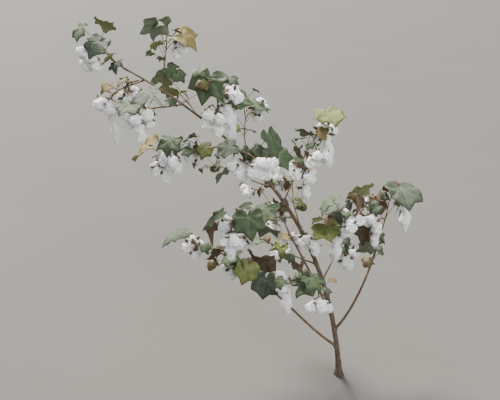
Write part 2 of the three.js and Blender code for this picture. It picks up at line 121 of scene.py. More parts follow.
def rings(paths, radii, sides):
    """Rings round paths: path + radius * (first cos a + second sin a), where first is level and square to the
    heading, second is heading x first, and a goes round from 0 to 2 pi. paths is (n, rows, 3), and radii
    spread to (n, rows, sides)."""
    headings = unit(np.gradient(paths, axis=1))
    level = np.cross(paths[:, -1] - paths[:, 0], UP)
    level = np.where(np.linalg.norm(level, axis=1, keepdims=True) > 1, level, AWAY)[:, None]
    first = square_to(headings, level)
    second = np.cross(headings, first)
    a = angles_round(sides)[:, None]
    around = first[:, :, None] * np.cos(a) + second[:, :, None] * np.sin(a)
    return paths[:, :, None] + radii[..., None] * around


def closed_surfaces(grids, **marks):
    """Points and triangles of closed surfaces, from grids of points (n, rows, columns, 3). Columns join
    round, and the first and last rows close on their own middles. Squares in the last half of the rows are
    cut along the other diagonal, so that the two sides of a thin blade are cut alike and neither shows
    through the other. Marks are what the materials read: values that spread to (n, rows, columns), or
    vectors with four axes that spread to (n, rows, columns, 3)."""
    n, rows, columns = grids.shape[:3]
    i, j = np.meshgrid(np.arange(rows - 1), np.arange(columns), indexing="ij")
    k = (j + 1) % columns
    a, b, c, d = i * columns + j, i * columns + k, (i + 1) * columns + k, (i + 1) * columns + j
    folded = (i >= rows // 2)[..., None]
    around = np.arange(columns)
    after = (around + 1) % columns
    last = (rows - 1) * columns
    faces = np.concatenate([
        np.where(folded, stacked(a, b, d), stacked(a, b, c)).reshape(-1, 3),
        np.where(folded, stacked(b, c, d), stacked(a, c, d)).reshape(-1, 3),
        stacked(rows * columns, after, around),
        stacked(rows * columns + 1, last + around, last + after),
    ])
    faces = faces[None] + (np.arange(n) * (rows * columns + 2))[:, None, None]

    def with_ends(values):
        """The values of all points in turn, and after each grid's the means of its first and last rows."""
        width = values.shape[3:]
        ends = values[:, [0, -1]].mean(axis=2)
        flat = np.concatenate([values.reshape(n, rows * columns, *width), ends], axis=1)
        return flat.reshape(-1, *width)

    spread = {
        mark: with_ends(np.broadcast_to(values, (n, rows, columns) + np.shape(values)[3:]))
        for mark, values in marks.items()
    }
    return with_ends(grids), faces.reshape(-1, 3), spread


def mesh_piece(name, surfaces, material):
    """One object from closed surfaces with the same marks. Millimetres become metres."""
    starts = np.cumsum([0] + [len(points) for points, _, _ in surfaces[:-1]])
    points = np.concatenate([points for points, _, _ in surfaces]) * 0.001
    faces = np.concatenate([faces + start for (_, faces, _), start in zip(surfaces, starts)])
    mesh = bpy.data.meshes.new(name)
    mesh.vertices.add(len(points))
    mesh.vertices.foreach_set("co", points.ravel())
    mesh.loops.add(faces.size)
    mesh.loops.foreach_set("vertex_index", faces.ravel())
    mesh.polygons.add(len(faces))
    mesh.polygons.foreach_set("loop_start", np.arange(0, faces.size, 3))
    mesh.polygons.foreach_set("use_smooth", np.ones(len(faces), bool))
    for mark in surfaces[0][2]:
        values = np.concatenate([marks[mark] for _, _, marks in surfaces])
        kind, key = ("FLOAT_VECTOR", "vector") if values.ndim == 2 else ("FLOAT", "value")
        mesh.attributes.new(mark, kind, "POINT").data.foreach_set(key, values.ravel())
    mesh.update()
    mesh.validate()
    mesh.materials.append(material)
    piece = bpy.data.objects.new(name, mesh)
    bpy.context.scene.collection.objects.link(piece)
    return piece


def linear(hex_colour):
    """An sRGB hex colour as linear RGBA: ((c + 0.055) / 1.055) ^ 2.4, or c / 12.92 where c is dark."""
    parts = [int(hex_colour[i : i + 2], 16) / 255 for i in (1, 3, 5)]
    return (*[((c + 0.055) / 1.055) ** 2.4 if c > 0.04045 else c / 12.92 for c in parts], 1)


def plug(node, inputs):
    """Gives inputs of a node, by name or as a list in their own order, a value, or a link from an output or
    from another node's first output."""
    for socket, value in inputs.items() if isinstance(inputs, dict) else enumerate(inputs):
        if isinstance(value, bpy.types.Node):
            value = value.outputs[0]
        if isinstance(value, bpy.types.NodeSocket):
            node.id_data.links.new(value, node.inputs[socket])
        else:
            node.inputs[socket].default_value = value


def add_node(tree, kind, inputs=(), stops=(), **settings):
    """Adds a node with its inputs and settings. Stops are the places and hex colours of a colour ramp."""
    node = tree.nodes.new("ShaderNode" + kind)
    for key, value in settings.items():
        setattr(node, key, value)
    stops = list(stops)
    for place, _ in stops[1:-1]:
        node.color_ramp.elements.new(place)
    for i, (place, colour) in enumerate(stops):
        node.color_ramp.elements[i].position = place
        node.color_ramp.elements[i].color = linear(colour)
    plug(node, inputs)
    return node


def start_material(name, constants):
    """A material begun with constants on the sockets of its own Principled BSDF, as two functions: one that
    adds a node to it, and one that ends it."""
    material = bpy.data.materials.new(name)
    material.use_nodes = True
    shader = material.node_tree.nodes["Principled BSDF"]
    plug(shader, constants)
    add = partial(add_node, material.node_tree)

    def finish(colour, *bump):
        """The material with its colour and a bump, given as its height, strength and depth in metres."""
        inputs = {"Base Color": colour}
        if bump:
            inputs["Normal"] = add("Bump", dict(zip(("Height", "Strength", "Distance"), bump)))
        plug(shader, inputs)
        return material

    return add, finish


def read_mark(add, mark, output):
    """What a mark holds: a Vector, or a single value as Fac."""
    return add("Attribute", attribute_name=mark).outputs[output]


def layered(add, colour, *layers):
    """A colour with others laid over it in turn, each by its own amount. A Mix node takes a share at socket
    0, numbers at 2 and 3, and colours at 6 and 7."""
    for amount, tint in layers:
        tint = linear(tint) if isinstance(tint, str) else tint
        colour = add("Mix", {0: amount, 6: colour, 7: tint}, data_type="RGBA").outputs[2]
    return colour


def bark_material(name, wood, skin, weathered):
    """Bark of a cotton stem. 'grain' holds (round, round, along) in mm and 'age' is 1 at the foot and 0 at
    the tips. Streaks 2 mm wide and thin dark cracks run along the stem, grey weathering lies in patches of
    30 mm, and a few corky lenticels of 1 mm, drawn as 1.6 mm to show, dot it. To the eye it is dull, dry and
    faintly striped."""
    add, finish = start_material(name, {"Roughness": 0.82})
    grain = read_mark(add, "grain", "Vector")
    age = read_mark(add, "age", "Fac")
    stretched = add("Mapping", {"Vector": grain, "Scale": (0.5, 0.5, 0.05)})
    streaks = add("TexNoise", {"Vector": stretched, "Scale": 1.0, "Detail": 4.0, "Roughness": 0.6})
    patches = add("TexNoise", {"Vector": grain, "Scale": 0.035, "Detail": 3.0})
    dotted = add("Mapping", {"Vector": grain, "Scale": (0.32, 0.32, 0.17)})
    cells = add("TexVoronoi", {"Vector": dotted, "Scale": 1.0, "Randomness": 1.0})
    spot = add("MapRange", [cells, 0.12, 0.24, 1.0, 0.0])
    luck = add("SeparateColor", [cells.outputs["Color"]])
    luck = add("Math", [luck, 0.6], operation="GREATER_THAN")
    corky = add("Math", [spot, luck], operation="MULTIPLY")
    thin = add("Mapping", {"Vector": grain, "Scale": (0.75, 0.75, 0.045)})
    split = add("TexVoronoi", {"Vector": thin, "Scale": 1.0}, feature="DISTANCE_TO_EDGE")
    crack = add("MapRange", [split, 0.0, 0.09, 1.0, 0.0])
    old_part = add("Math", [age, 2.5], operation="POWER")
    crack = add("Math", [crack, old_part], operation="MULTIPLY")
    old = add("ValToRGB", {"Fac": streaks}, zip((0.3, 0.55, 0.75), wood))
    young = add("ValToRGB", {"Fac": streaks}, zip((0.3, 0.7), skin))
    colour = layered(add, young, (age, old))
    worn = add("MapRange", [patches, 0.48, 0.68, 0.0, 0.6])
    dark = add("Math", [crack, 0.45], operation="MULTIPLY")
    spots = add("Math", [corky, 0.4], operation="MULTIPLY")
    colour = layered(add, colour, (worn, weathered), (dark, "#2f231b"), (spots, "#a99176"))
    height = add("Math", [corky, 0.4, streaks], operation="MULTIPLY_ADD")
    height = add("Math", [crack, -0.8, height], operation="MULTIPLY_ADD")
    return finish(colour, height, 0.9, 0.001)


def bark_place(radii, sides, lengths):
    """Where bark's patterns are read on rings: (radius cos a, radius sin a, distance along) in mm."""
    angles = angles_round(sides)
    return stacked(radii * np.cos(angles), radii * np.sin(angles), lengths[:, None])


def stem_rings():
    """Rings 3 mm apart. Radius: the stem's, times 1 + 0.1 at each node and 0.28 more on the limb's side,
    less 0.16 in the leaf's scar 9 mm below it, and 0.035 cos 5a for its ridges, plus rough bark of spread
    0.45 mm at the foot and 0.14 mm higher up, and lobes on the root flare. A limb at a turn round the stem
    has a = turn - 90 degrees. Near the foot the rings lie level, on the ground."""
    line = resampled(stem_line(), STEM_ROWS)[None]
    lengths = np.linspace(0, STEM_LENGTH, STEM_ROWS)
    along_it = lengths[:, None]
    angles = angles_round(STEM_SIDES)
    numbers = np.arange(-1, NODE_COUNT)
    knots = (FIRST_NODE + NODE_GAP * numbers)[:, None, None]
    facing = np.cos(angles - (FIRST_TURN + TURN_PER_NODE * numbers - 90)[:, None, None] * DEGREE)
    near = swell(along_it - knots, 7)
    scar = swell(along_it - knots + 9, 3) * np.maximum(facing, 0) ** 6
    swelling = (near * (0.1 + 0.28 * np.maximum(facing, 0) ** 2) - 0.16 * scar).sum(axis=0)
    lobes = np.exp(-lengths / 16)[:, None] * (0.16 * np.cos(5 * angles + 0.6) + 0.1 * np.cos(3 * angles + 2))
    ridges = 0.035 * np.cos(5 * angles + along_it / 90)
    bare = stem_radius(lengths)[:, None]
    radii = bare * (1 + swelling + lobes + ridges)
    relief = mix(0.14, 0.45, np.exp(-lengths / 180))[:, None]
    radii = radii + ripples(bark_place(bare, STEM_SIDES, 0.3 * lengths), 6, 11) * relief
    grid = rings(line, radii, STEM_SIDES)
    flatness = np.minimum(1, lengths / 25)[None, :, None]
    level = line[:, :, None, 2]
    grid[..., 2] = level + (grid[..., 2] - level) * flatness
    age = 1 - 0.75 * (along_it / STEM_LENGTH)
    return closed_surfaces(grid, grain=bark_place(bare[None], STEM_SIDES, lengths), age=age)


stem_bark = bark_material(
    "cotton_stem_bark", ["#3d2f26", "#5a4939", "#74604e"], ["#543e31", "#65573f"], "#796e62"
)
main_stem = mesh_piece("main_stem_bark", [stem_rings()], stem_bark)
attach(main_stem, "root")
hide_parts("main_stem")

# Limbs
# Three long vegetative limbs low on the stem, sixteen shorter fruiting limbs above them, one from each node,
# and the crown. Each is one stem that grew out of the bark of the main stem: a bough, then a zigzag of
# internodes that turns from node to node, brown where it is old and reddish to green at its tip.
SEED, CROWN_SEED = 31, 70
ARCH_SIDE = np.array([-1.0, 0, 0])
ZIGZAG, TURN_SCATTER = 15, 12
VEGETATIVE_COUNT, VEGETATIVE_LENGTH, VEGETATIVE_RADIUS, VEGETATIVE_ANGLE = 3, 560, 4.6, 46
VEGETATIVE_SHORTENING, VEGETATIVE_BOUGH, VEGETATIVE_INTERNODE = 45, 0.46, 62
# Lift, sag and lean per millimetre
VEGETATIVE_PULL, FRUITING_PULL, CROWN_PULL = (0.0034, 0.0036, 0.0007), (0.005, 0.008, 0), (0.006, -0.002, 0)
FRUITING_LENGTHS, FRUITING_RADII, FRUITING_ANGLE = (300, 130), (3.1, 2.2), 60
FRUITING_SHARES = [0.2, 0.16, 0.26, 0.21, 0.17]
FIRST_BOUGHLESS = 13
CROWN_INTERNODES, CROWN_RADIUS = [46, 40, 34], 2.4
LIMB_TIP_RADIUS, LIMB_SIDES = 1.3, 12


def draws_from(seed):
    """Numbers from 0 to 1: the state becomes 1664525 times itself plus 1013904223, modulo 2 to the 32nd."""
    state = (seed * 7919 + 12345) % 2**32
    while True:
        state = (state * 1664525 + 1013904223) % 2**32
        yield state / 2**32


def turned(vector, axis, degrees):
    """A vector turned about an axis: v cos a + (k x v) sin a + k (k . v) (1 - cos a)."""
    a = degrees * DEGREE
    across = np.cross(axis, vector)
    return vector * math.cos(a) + across * math.sin(a) + axis * axis.dot(vector) * (1 - math.cos(a))


def along(points, distance):
    """The point and heading at a distance along a line of evenly spaced points."""
    place = min(distance / np.linalg.norm(points[1] - points[0]), len(points) - 1 - 1e-9)
    i = math.floor(place)
    return mix(points[i], points[i + 1], place - i), unit(points[i + 1] - points[i])


def grow(start, heading, length, pull_at):
    """Steps of about 12 mm. Before each, the heading turns by the pull times the step."""
    count = max(2, math.floor(length / STEP + 0.5))
    step = length / count
    way = unit(heading)
    points = [start]
    for i in range(count):
        way = unit(way + pull_at((i + 0.5) / count) * step)
        points.append(points[-1] + way * step)
    return points, way


def grow_limb(start, heading, bough_length, internodes, lift, sag, lean):
    """A bough and then internodes, each turned 15 degrees left or right from the last. The upward pull goes
    from lift to -sag over the whole limb."""
    whole = bough_length + sum(internodes)
    done = 0

    def grow_on(origin, way, length):
        """The next stretch of the limb, which starts where the length done so far ends."""

        def pull_at(t):
            """The pull at a share t of the stretch: upwards, and towards the side that the stem arches to."""
            return UP * mix(lift, -sag, (done + t * length) / whole) + ARCH_SIDE * lean

        return grow(origin, way, length, pull_at)

    bough, way = grow_on(start, heading, bough_length) if bough_length > 0 else ([start], heading)
    done += bough_length
    line, nodes = [bough[-1]], []
    for i, length in enumerate(internodes):
        turn = 0 if i == 0 else ZIGZAG * (-1 if i % 2 else 1)
        points, way = grow_on(line[-1], turned(way, UP, turn), length)
        done += length
        line += points[1:]
        node = {"point": line[-1], "heading": way, "side": 1 if i % 2 else -1}
        nodes.append({**node, "length": length, "at": len(line) - 1})
    return {"bough": np.array(bough), "line": np.array(line), "nodes": nodes}


def limb_heading(heading, angle, turn):
    """The heading that leaves the stem at an angle, on the side that a turn round it gives, 0 on its top."""
    across = unit(AWAY - heading * AWAY.dot(heading))
    above = np.cross(across, heading)
    side = above * math.cos(turn * DEGREE) + across * math.sin(turn * DEGREE)
    return heading * math.cos(angle * DEGREE) + side * math.sin(angle * DEGREE)


def grow_limbs(stem):
    """One limb from each node, about 137.5 degrees round from the last, and the crown from the stem's tip. A
    vegetative limb is 45 mm shorter than the last. A fruiting one is 300 mm long low down and 130 mm high up,
    give or take a tenth, and the top ones have no bough of their own."""
    limbs = []
    for k in range(NODE_COUNT):
        draw = draws_from(SEED + k)
        point, heading = along(stem, FIRST_NODE + k * NODE_GAP)
        turn = FIRST_TURN + TURN_PER_NODE * k + mix(-TURN_SCATTER, TURN_SCATTER, next(draw))
        if k < VEGETATIVE_COUNT:
            length = VEGETATIVE_LENGTH - VEGETATIVE_SHORTENING * k
            bough = length * VEGETATIVE_BOUGH
            count = math.floor((length - bough) / VEGETATIVE_INTERNODE + 0.5)
            internodes = [(length - bough) / count] * count
            way = limb_heading(heading, VEGETATIVE_ANGLE, turn)
            limb = grow_limb(point, way, bough, internodes, *VEGETATIVE_PULL)
            limb.update(name=f"vegetative_{k + 1}", radius=VEGETATIVE_RADIUS, height=0)
        else:
            height = (k - VEGETATIVE_COUNT) / (NODE_COUNT - VEGETATIVE_COUNT - 1)
            length = mix(*FRUITING_LENGTHS, height**1.2) * mix(0.9, 1.1, next(draw))
            shares = FRUITING_SHARES[: 4 if height > 0.6 else 5]
            bough, *internodes = [length * share / sum(shares) for share in shares]
            if k >= FIRST_BOUGHLESS:
                bough, internodes = 0, [bough + internodes[0], *internodes[1:]]
            way = limb_heading(heading, FRUITING_ANGLE, turn)
            limb = grow_limb(point, way, bough, internodes, *FRUITING_PULL)
            radius = mix(*FRUITING_RADII, height)
            limb.update(name=f"fruiting_{k - VEGETATIVE_COUNT + 1:02d}", radius=radius, height=height)
        limb.update(draw=draw, leaf_scale=1)
        limbs.append(limb)
    crown = grow_limb(*along(stem, STEM_LENGTH), 0, CROWN_INTERNODES, *CROWN_PULL)
    crown.update(name="crown", radius=CROWN_RADIUS, height=1, draw=draws_from(CROWN_SEED), leaf_scale=0.8)
    return limbs + [crown]


def limb_rings(limb):
    """Rings 3 mm apart along a limb. Its radius falls to 0.72 of itself along the bough and then to 1.3 mm at
    the tip, and swells by 30 percent at each node and 45 percent where the limb leaves the stem."""
    line = np.concatenate([limb["bough"], limb["line"][1:]])
    bough_length = STEP * (len(limb["bough"]) - 1)
    whole = np.linalg.norm(np.diff(line, axis=0), axis=1).sum()
    rows = round(whole / 3.2) + 2
    path = resampled(line, rows)
    path[1:-1] = (path[:-2] + 2 * path[1:-1] + path[2:]) / 4
    lengths = np.linspace(0, whole, rows)
    thin = np.clip(lengths / max(bough_length, 1), 0, 1) if bough_length else np.ones(rows)
    start = 0.72 if bough_length else 1
    bare = limb["radius"] * mix(1, start, thin)
    past_bough = np.clip((lengths - bough_length) / (whole - bough_length), 0, 1)
    bare = mix(bare, LIMB_TIP_RADIUS, past_bough)[:, None]
    places = bough_length + np.cumsum([node["length"] for node in limb["nodes"]])
    knots = swell(lengths[:, None] - places, 3.5).sum(axis=1)[:, None]
    collar = swell(lengths, 12)[:, None]
    angles = angles_round(LIMB_SIDES)
    ridges = 0.04 * np.cos(3 * angles + lengths[:, None] / 50)
    radii = bare * (1 + 0.3 * knots + 0.45 * collar + ridges)
    radii += 0.12 * ripples(bark_place(bare, LIMB_SIDES, 0.3 * lengths), 5, 12) * np.minimum(1, bare / 2)
    age = mix(0.75, 0.0, lengths / whole) * mix(1, 0.5, limb["height"])
    grain = bark_place(bare[None], LIMB_SIDES, lengths)
    return closed_surfaces(rings(path[None], radii, LIMB_SIDES), grain=grain, age=age[:, None])


stem = stem_line()
limbs = grow_limbs(stem)
limb_bark = bark_material(
    "cotton_limb_bark", ["#403026", "#5e493a", "#77624e"], ["#603f31", "#686039"], "#7c7063"
)
limb_stems = mesh_piece("limb_stems", [limb_rings(limb) for limb in limbs], limb_bark)
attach(limb_stems, "root")
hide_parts(*[f"{limb['name']}_bough" for limb in limbs if len(limb["bough"]) > 1])

# Where leaves and bolls hang
# Each node of a limb may bear a boll on a short stalk on one side and a leaf or two on long stalks on the
# other. Each keeps to its limb's own space, clear of the limbs, the ground and the others, or is left out.
GROUND_GAP, LIMB_GAP, SPACE_GAP, BOLL_GAP, LEAF_GAP = 12, 3, 1.5, 26, 22
BOLL_CHANCE, CLOSED_CHANCE, FOUR_LOCKS_CHANCE, HANGING_CHANCE = 0.76, 0.12, 0.65, 0.36
BOLL_STALK, CAPSULE_LENGTH = 26, 34
LOCK_START, LOCK_LENGTH, LOCK_RADIUS, LOCK_ANGLE = 5, 39, 17.5, 52 * DEGREE
RESTING_DROPS, HANGING_DROPS = (4, 14), (26, 85)
LEAF_CHANCES, LEAF_STALK, LEAF_LENGTHS, LEAF_TILTS = (0.72, 0.32), 74, (78, 44), (8, 62)
BOLL_TURNS = (0, 50, -50, 100, -100, 150)
LEAF_TURNS = (0, 45, -45, 90, -90, 135, 180)
LEAF_OUTLINE = np.array([
    [0, 1], [25, 0.7], [52, 0.9], [84, 0.62], [126, 0.62], [-126, 0.62], [-84, 0.62], [-52, 0.9], [-25, 0.7],
])
mass_names = [f"{limb['name']}_mass" for limb in limbs]
space_points = np.concatenate([limb["line"] for limb in limbs])
space_starts = np.cumsum([0] + [len(limb["line"]) for limb in limbs[:-1]])
limb_points = np.concatenate([stem] + [limb["bough"][:-2] for limb in limbs])
stem_reach = stem_radius(np.arange(len(stem)) * STEP)
bough_reach = [np.full(len(limb["bough"][:-2]), limb["radius"]) for limb in limbs]
limb_reach = np.concatenate([stem_reach] + bough_reach) + LIMB_GAP


def in_space(points, own):
    """Whether points are 1.5 mm nearer to their own limb's line than to others, and 3 mm clear of limbs."""
    points = np.array(points)
    if points[:, 2].min() < GROUND_GAP:
        return False
    apart = np.linalg.norm(points[:, None] - space_points, axis=-1)
    nearest = np.minimum.reduceat(apart, space_starts, axis=1)
    mine = nearest[:, own] + SPACE_GAP
    nearest[:, own] = np.inf
    if (nearest < mine[:, None]).any():
        return False
    return bool((np.linalg.norm(points[:, None] - limb_points, axis=-1) > limb_reach).all())


def side_of(heading):
    """A direction square to a heading: level, unless the heading is upright."""
    side = np.cross(heading, UP)
    return unit(side) if np.linalg.norm(side) > 0.05 else AWAY


def lock_point(centre, axis, scale, way, hang, t):
    """5 mm along the boll's axis, then 39 t (1.25 - 0.35 t) mm along the lock's way, and hang t^2 down."""
    outward = way * (LOCK_LENGTH * scale * t * (1.25 - 0.35 * t))
    return centre + axis * LOCK_START + outward - UP * (hang * t * t)


def make_boll(node, draws, turn):
    """A boll on a stalk of about 26 mm. It nods, and its 4 or 5 locks stand 52 degrees off its axis. In about
    a third of the bolls the lowest locks hang far down."""
    outward = turned(side_of(node["heading"]) * -node["side"] + node["heading"] * 0.5, UP, turn)
    way = unit(outward * mix(0.5, 0.9, draws[1]) + UP * mix(-0.9, -0.1, draws[2]))
    centre = node["point"] + way * (BOLL_STALK * mix(0.8, 1.3, draws[3]))
    axis = unit(way - UP * 0.35)
    count = 4 if draws[5] < FOUR_LOCKS_CHANCE else 5
    side = side_of(axis)
    other = np.cross(side, axis)
    down = unit(axis * axis[2] - UP)
    locks = []
    for i in range(count):
        angle = (i + draws[6]) / count * 2 * math.pi
        spread = side * math.cos(angle) + other * math.sin(angle)
        hangs = draws[7] < HANGING_CHANCE and spread.dot(down) > math.cos(50 * DEGREE)
        hang = mix(*(HANGING_DROPS if hangs else RESTING_DROPS), (draws[7] * 97 + i * 0.618) % 1)
        locks.append((axis * math.cos(LOCK_ANGLE) + spread * math.sin(LOCK_ANGLE), hang))
    return {
        "root": node["point"] - node["heading"] * 1.2,
        "centre": centre,
        "axis": axis,
        "locks": locks,
        "closed": draws[4] < CLOSED_CHANCE,
        "scale": mix(0.9, 1.1, draws[8]),
    }


def blade_ways(level, tilt, roll):
    """A blade's midrib, outward and tilt degrees down, and its normal, rolled about the midrib."""
    a = tilt * DEGREE
    midrib = level * math.cos(a) - UP * math.sin(a)
    normal = turned(level * math.sin(a) + UP * math.cos(a), midrib, roll)
    return {"midrib": midrib, "normal": normal, "across": np.cross(normal, midrib)}


def make_leaf(node, draws, turn, length):
    """A leaf on a stalk of about 74 mm that rises outward, its blade 8 to 62 degrees below level."""
    outward = unit(turned(side_of(node["heading"]) * node["side"] + node["heading"] * 0.6, UP, turn))
    way = unit(outward * 0.75 + UP * mix(0.25, 0.95, draws[1]))
    stalk = LEAF_STALK * mix(0.65, 1.15, draws[2])
    end = node["point"] + way * stalk - UP * (stalk * 0.12)
    ways = blade_ways(unit(outward * [1, 1, 0]), mix(*LEAF_TILTS, draws[3]), mix(-28, 28, draws[4]))
    return {"root": node["point"] - node["heading"] * 2.1, "end": end, "length": length, **ways}


def leaf_points(leaf):
    """The outline's points, each 0.2 of its share squared below the blade's plane."""
    angles, shares = LEAF_OUTLINE[:, :1] * DEGREE, LEAF_OUTLINE[:, 1:]
    flat = leaf["midrib"] * np.cos(angles) * shares + leaf["across"] * np.sin(angles) * shares
    return leaf["end"] + (flat - leaf["normal"] * 0.2 * shares**2) * leaf["length"]


def lock_middles(boll, places):
    """Points of the middle lines of a boll's locks, each with its lock's way."""
    facts = boll["centre"], boll["axis"], boll["scale"]
    return [(lock_point(*facts, way, hang, t), way) for way, hang in boll["locks"] for t in places]


def boll_balls(boll):
    """The middles of a boll's locks, which others keep clear of."""
    if boll["closed"]:
        return [boll["centre"] + boll["axis"] * (CAPSULE_LENGTH / 2)]
    return [middle for middle, _ in lock_middles(boll, (0.45, 0.95))]


def boll_reach(boll):
    """The furthest points of a boll each way, 0.85 of a lock's radius from its middle line."""
    if boll["closed"]:
        return [boll["centre"], boll["centre"] + boll["axis"] * CAPSULE_LENGTH]
    reach = [boll["centre"]]
    for middle, way in lock_middles(boll, (0.5, 1)):
        side = side_of(way)
        reach += [middle] + [middle + off * LOCK_RADIUS * 0.85 for off in (-UP, way * 0.6, side, -side)]
    return reach


def nearest_gap(points, others):
    """The least distance between two sets of points."""
    if not len(others):
        return math.inf
    return np.linalg.norm(np.array(points)[:, None] - np.array(others)[None], axis=-1).min()


def furnish(own, limb):
    """Hangs bolls and leaves on a limb's nodes. Each is tried on a few sides, and kept on the first free."""
    limb["leaves"], limb["bolls"] = [], []
    for node in limb["nodes"]:
        draws = [next(limb["draw"]) for _ in range(20)]
        balls = [ball for boll in limb["bolls"] for ball in boll_balls(boll)]
        for turn in BOLL_TURNS if draws[0] < BOLL_CHANCE else ():
            boll = make_boll(node, draws, turn)
            if nearest_gap(boll_balls(boll), balls) > BOLL_GAP and in_space(boll_reach(boll), own):
                limb["bolls"].append(boll)
                balls += boll_balls(boll)
                break
        for second in (0, 1):
            if draws[15 + 2 * second] > LEAF_CHANCES[second]:
                continue
            mine = [(draw + 0.62 * second) % 1 for draw in draws[9:15]]
            length = mix(*LEAF_LENGTHS, draws[16 + 2 * second]) * limb["leaf_scale"]
            for turn in LEAF_TURNS:
                leaf = make_leaf(node, mine, turn + 140 * second, length)
                reach = leaf_points(leaf)
                free = all(
                    np.linalg.norm(leaf["end"] - other["end"]) > (length + other["length"]) * 0.55
                    for other in limb["leaves"]
                )
                if free and nearest_gap(reach, balls) > LEAF_GAP and in_space([leaf["end"], *reach], own):
                    limb["leaves"].append(leaf)
                    break


for own, limb in enumerate(limbs):
    furnish(own, limb)

# Fine twigs
# Short shoots from the axils of old leaves, 16 to 46 mm long and a millimetre or two thick, which grew out of
# the limbs late in the season. Most bear a small leaf, and some a dried bud. They keep to their limb's own
# space as the larger ones do.
SHOOT_ROWS, SHOOT_SIDES, SHOOT_TRIES, SHOOT_SEED = 10, 6, 4, 500
SHOOT_LENGTHS, SHOOT_RADII = (16, 46), (1.0, 0.6)
SMALL_LEAF_LENGTHS, SMALL_LEAF_TILTS = (17, 34), (0, 50)
SHOOT_GAP, SMALL_LEAF_GAP, BLADE_GAP = 21, 17, 26
BUD_CHANCE, LONGEST_BUDDED = 0.25, 32
BUD_SHAPE = np.array([0, 0, 0, 0, 0, 0, 0.2, 1.3, 1.5, 0.2])


def thin_stems(paths, radii, sides, length, age):
    """Closed round stems along paths, with the bark's marks. The distance goes evenly from 0 to length."""
    radii = np.broadcast_to(radii, paths.shape[:2])[..., None]
    grain = bark_place(radii, sides, length * np.linspace(0, 1, paths.shape[1]))
    return closed_surfaces(rings(paths, radii, sides), grain=grain, age=age)


def make_shoot(limb, node, draws):
    """A shoot that starts on the limb up to three steps below a node and curves upward: start + way length t
    + up 0.25 length t^2."""
    start = limb["line"][node["at"] - math.floor(3 * draws[0])]
    side = side_of(node["heading"]) * (1 if draws[1] < 0.5 else -1)
    outward = turned(side + node["heading"] * mix(0.2, 1.1, draws[2]), UP, mix(-50, 50, draws[3]))
    way = unit(outward + UP * mix(-0.3, 0.9, draws[4]))
    length = mix(*SHOOT_LENGTHS, draws[5] ** 1.4)
    t = np.linspace(0, 1, SHOOT_ROWS)[:, None]
    return start + way * length * t + UP * (0.25 * length) * t * t, way, length


def small_leaf(end, way, draws, own):
    """A young leaf at a shoot's end, its blade 0 to 50 degrees below level."""
    level = unit(way * [1, 1, 0] + 1e-6)
    ways = blade_ways(level, mix(*SMALL_LEAF_TILTS, draws[0]), mix(-40, 40, draws[1]))
    return {"end": end, "length": mix(*SMALL_LEAF_LENGTHS, draws[2]), "spray": own, **ways}


def blade_middle(leaf):
    """A point on the midrib, 0.4 of the blade's length from its stalk."""
    return leaf["end"] + leaf["midrib"] * leaf["length"] * 0.4


shoots, small_leaves, budded = [], [], []
for own, limb in enumerate(limbs):
    draw = draws_from(SHOOT_SEED + own)
    balls = [ball for boll in limb["bolls"] for ball in boll_balls(boll)]
    blades = [blade_middle(leaf) for leaf in limb["leaves"]]
    for node in [node for node in limb["nodes"] for _ in range(SHOOT_TRIES)]:
        draws = [next(draw) for _ in range(12)]
        path, way, length = make_shoot(limb, node, draws)
        if nearest_gap(path[3:], balls) < SHOOT_GAP or not in_space(path[5:], own):
            continue
        leaf = small_leaf(path[-1], way, draws[7:10], own)
        middle, reach = blade_middle(leaf), leaf_points(leaf)
        free = nearest_gap(reach, balls) > SMALL_LEAF_GAP and nearest_gap([middle], blades) > BLADE_GAP
        if free and in_space(reach, own):
            small_leaves.append(leaf)
            blades.append(middle)
            shoots.append(path)
            budded.append(0)
        elif draws[6] > 1 - BUD_CHANCE and length < LONGEST_BUDDED:
            shoots.append(path)
            budded.append(1)

shoot_radii = np.linspace(*SHOOT_RADII, SHOOT_ROWS) + np.array(budded)[:, None] * BUD_SHAPE
shoot_stems = thin_stems(np.array(shoots), shoot_radii, SHOOT_SIDES, length=40, age=0.25)
twigs = mesh_piece("fine_twigs", [shoot_stems], limb_bark)
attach(twigs, "root")
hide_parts(*mass_names)

# Leaf stalks
# Each full leaf stands on a round, slightly downy stalk, 50 to 85 mm long and 2.2 mm thick, swollen where it
# joins the limb. It is green, flushed red on its upper side.
STALK_ROWS, STALK_SIDES, STALK_RADIUS = 14, 8, 1.1
leaves = [dict(leaf, spray=own) for own, limb in enumerate(limbs) for leaf in limb["leaves"]]


def stalk_rings(leaves):
    """Rings along a line from root to end that arches up by 0.16 of a stalk's length times t (1 - t). The
    radius is 1.1 mm, swollen by 0.7 of itself at the limb and 0.25 at the blade. The 'age' mark is
    0.3 - 0.3 sin a, most on the upper side."""
    t = np.linspace(0, 1, STALK_ROWS)
    arch = UP * 0.16 * LEAF_STALK * t[:, None] * (1 - t[:, None])
    paths = np.array([mix(leaf["root"], leaf["end"], t[:, None]) + arch for leaf in leaves])
    shape = 1.0 + 0.7 * swell(t, 0.05) + 0.25 * swell(1 - t, 0.06)
    upper = 0.3 - 0.3 * np.sin(angles_round(STALK_SIDES))
    return thin_stems(paths, STALK_RADIUS * shape, STALK_SIDES, LEAF_STALK, age=upper)


def stalk_skin():
    """Skin of a leaf stalk: green with a red flush above, in streaks 1 mm wide, and a faint downy sheen."""
    add, finish = start_material("leaf_stalk_skin", {"Roughness": 0.6, "Sheen Weight": 0.2})
    grain = read_mark(add, "grain", "Vector")
    upper = read_mark(add, "age", "Fac")
    streaks = add("TexNoise", {"Vector": grain, "Scale": 0.9, "Detail": 3.0})
    flush = add("Math", [streaks, 0.6, upper], operation="MULTIPLY_ADD")
    tints = [(0.3, "#606a38"), (0.75, "#6a5236"), (0.92, "#5f3a2e")]
    colour = add("ValToRGB", {"Fac": flush}, tints)
    return finish(colour, streaks, 0.4, 0.0003)


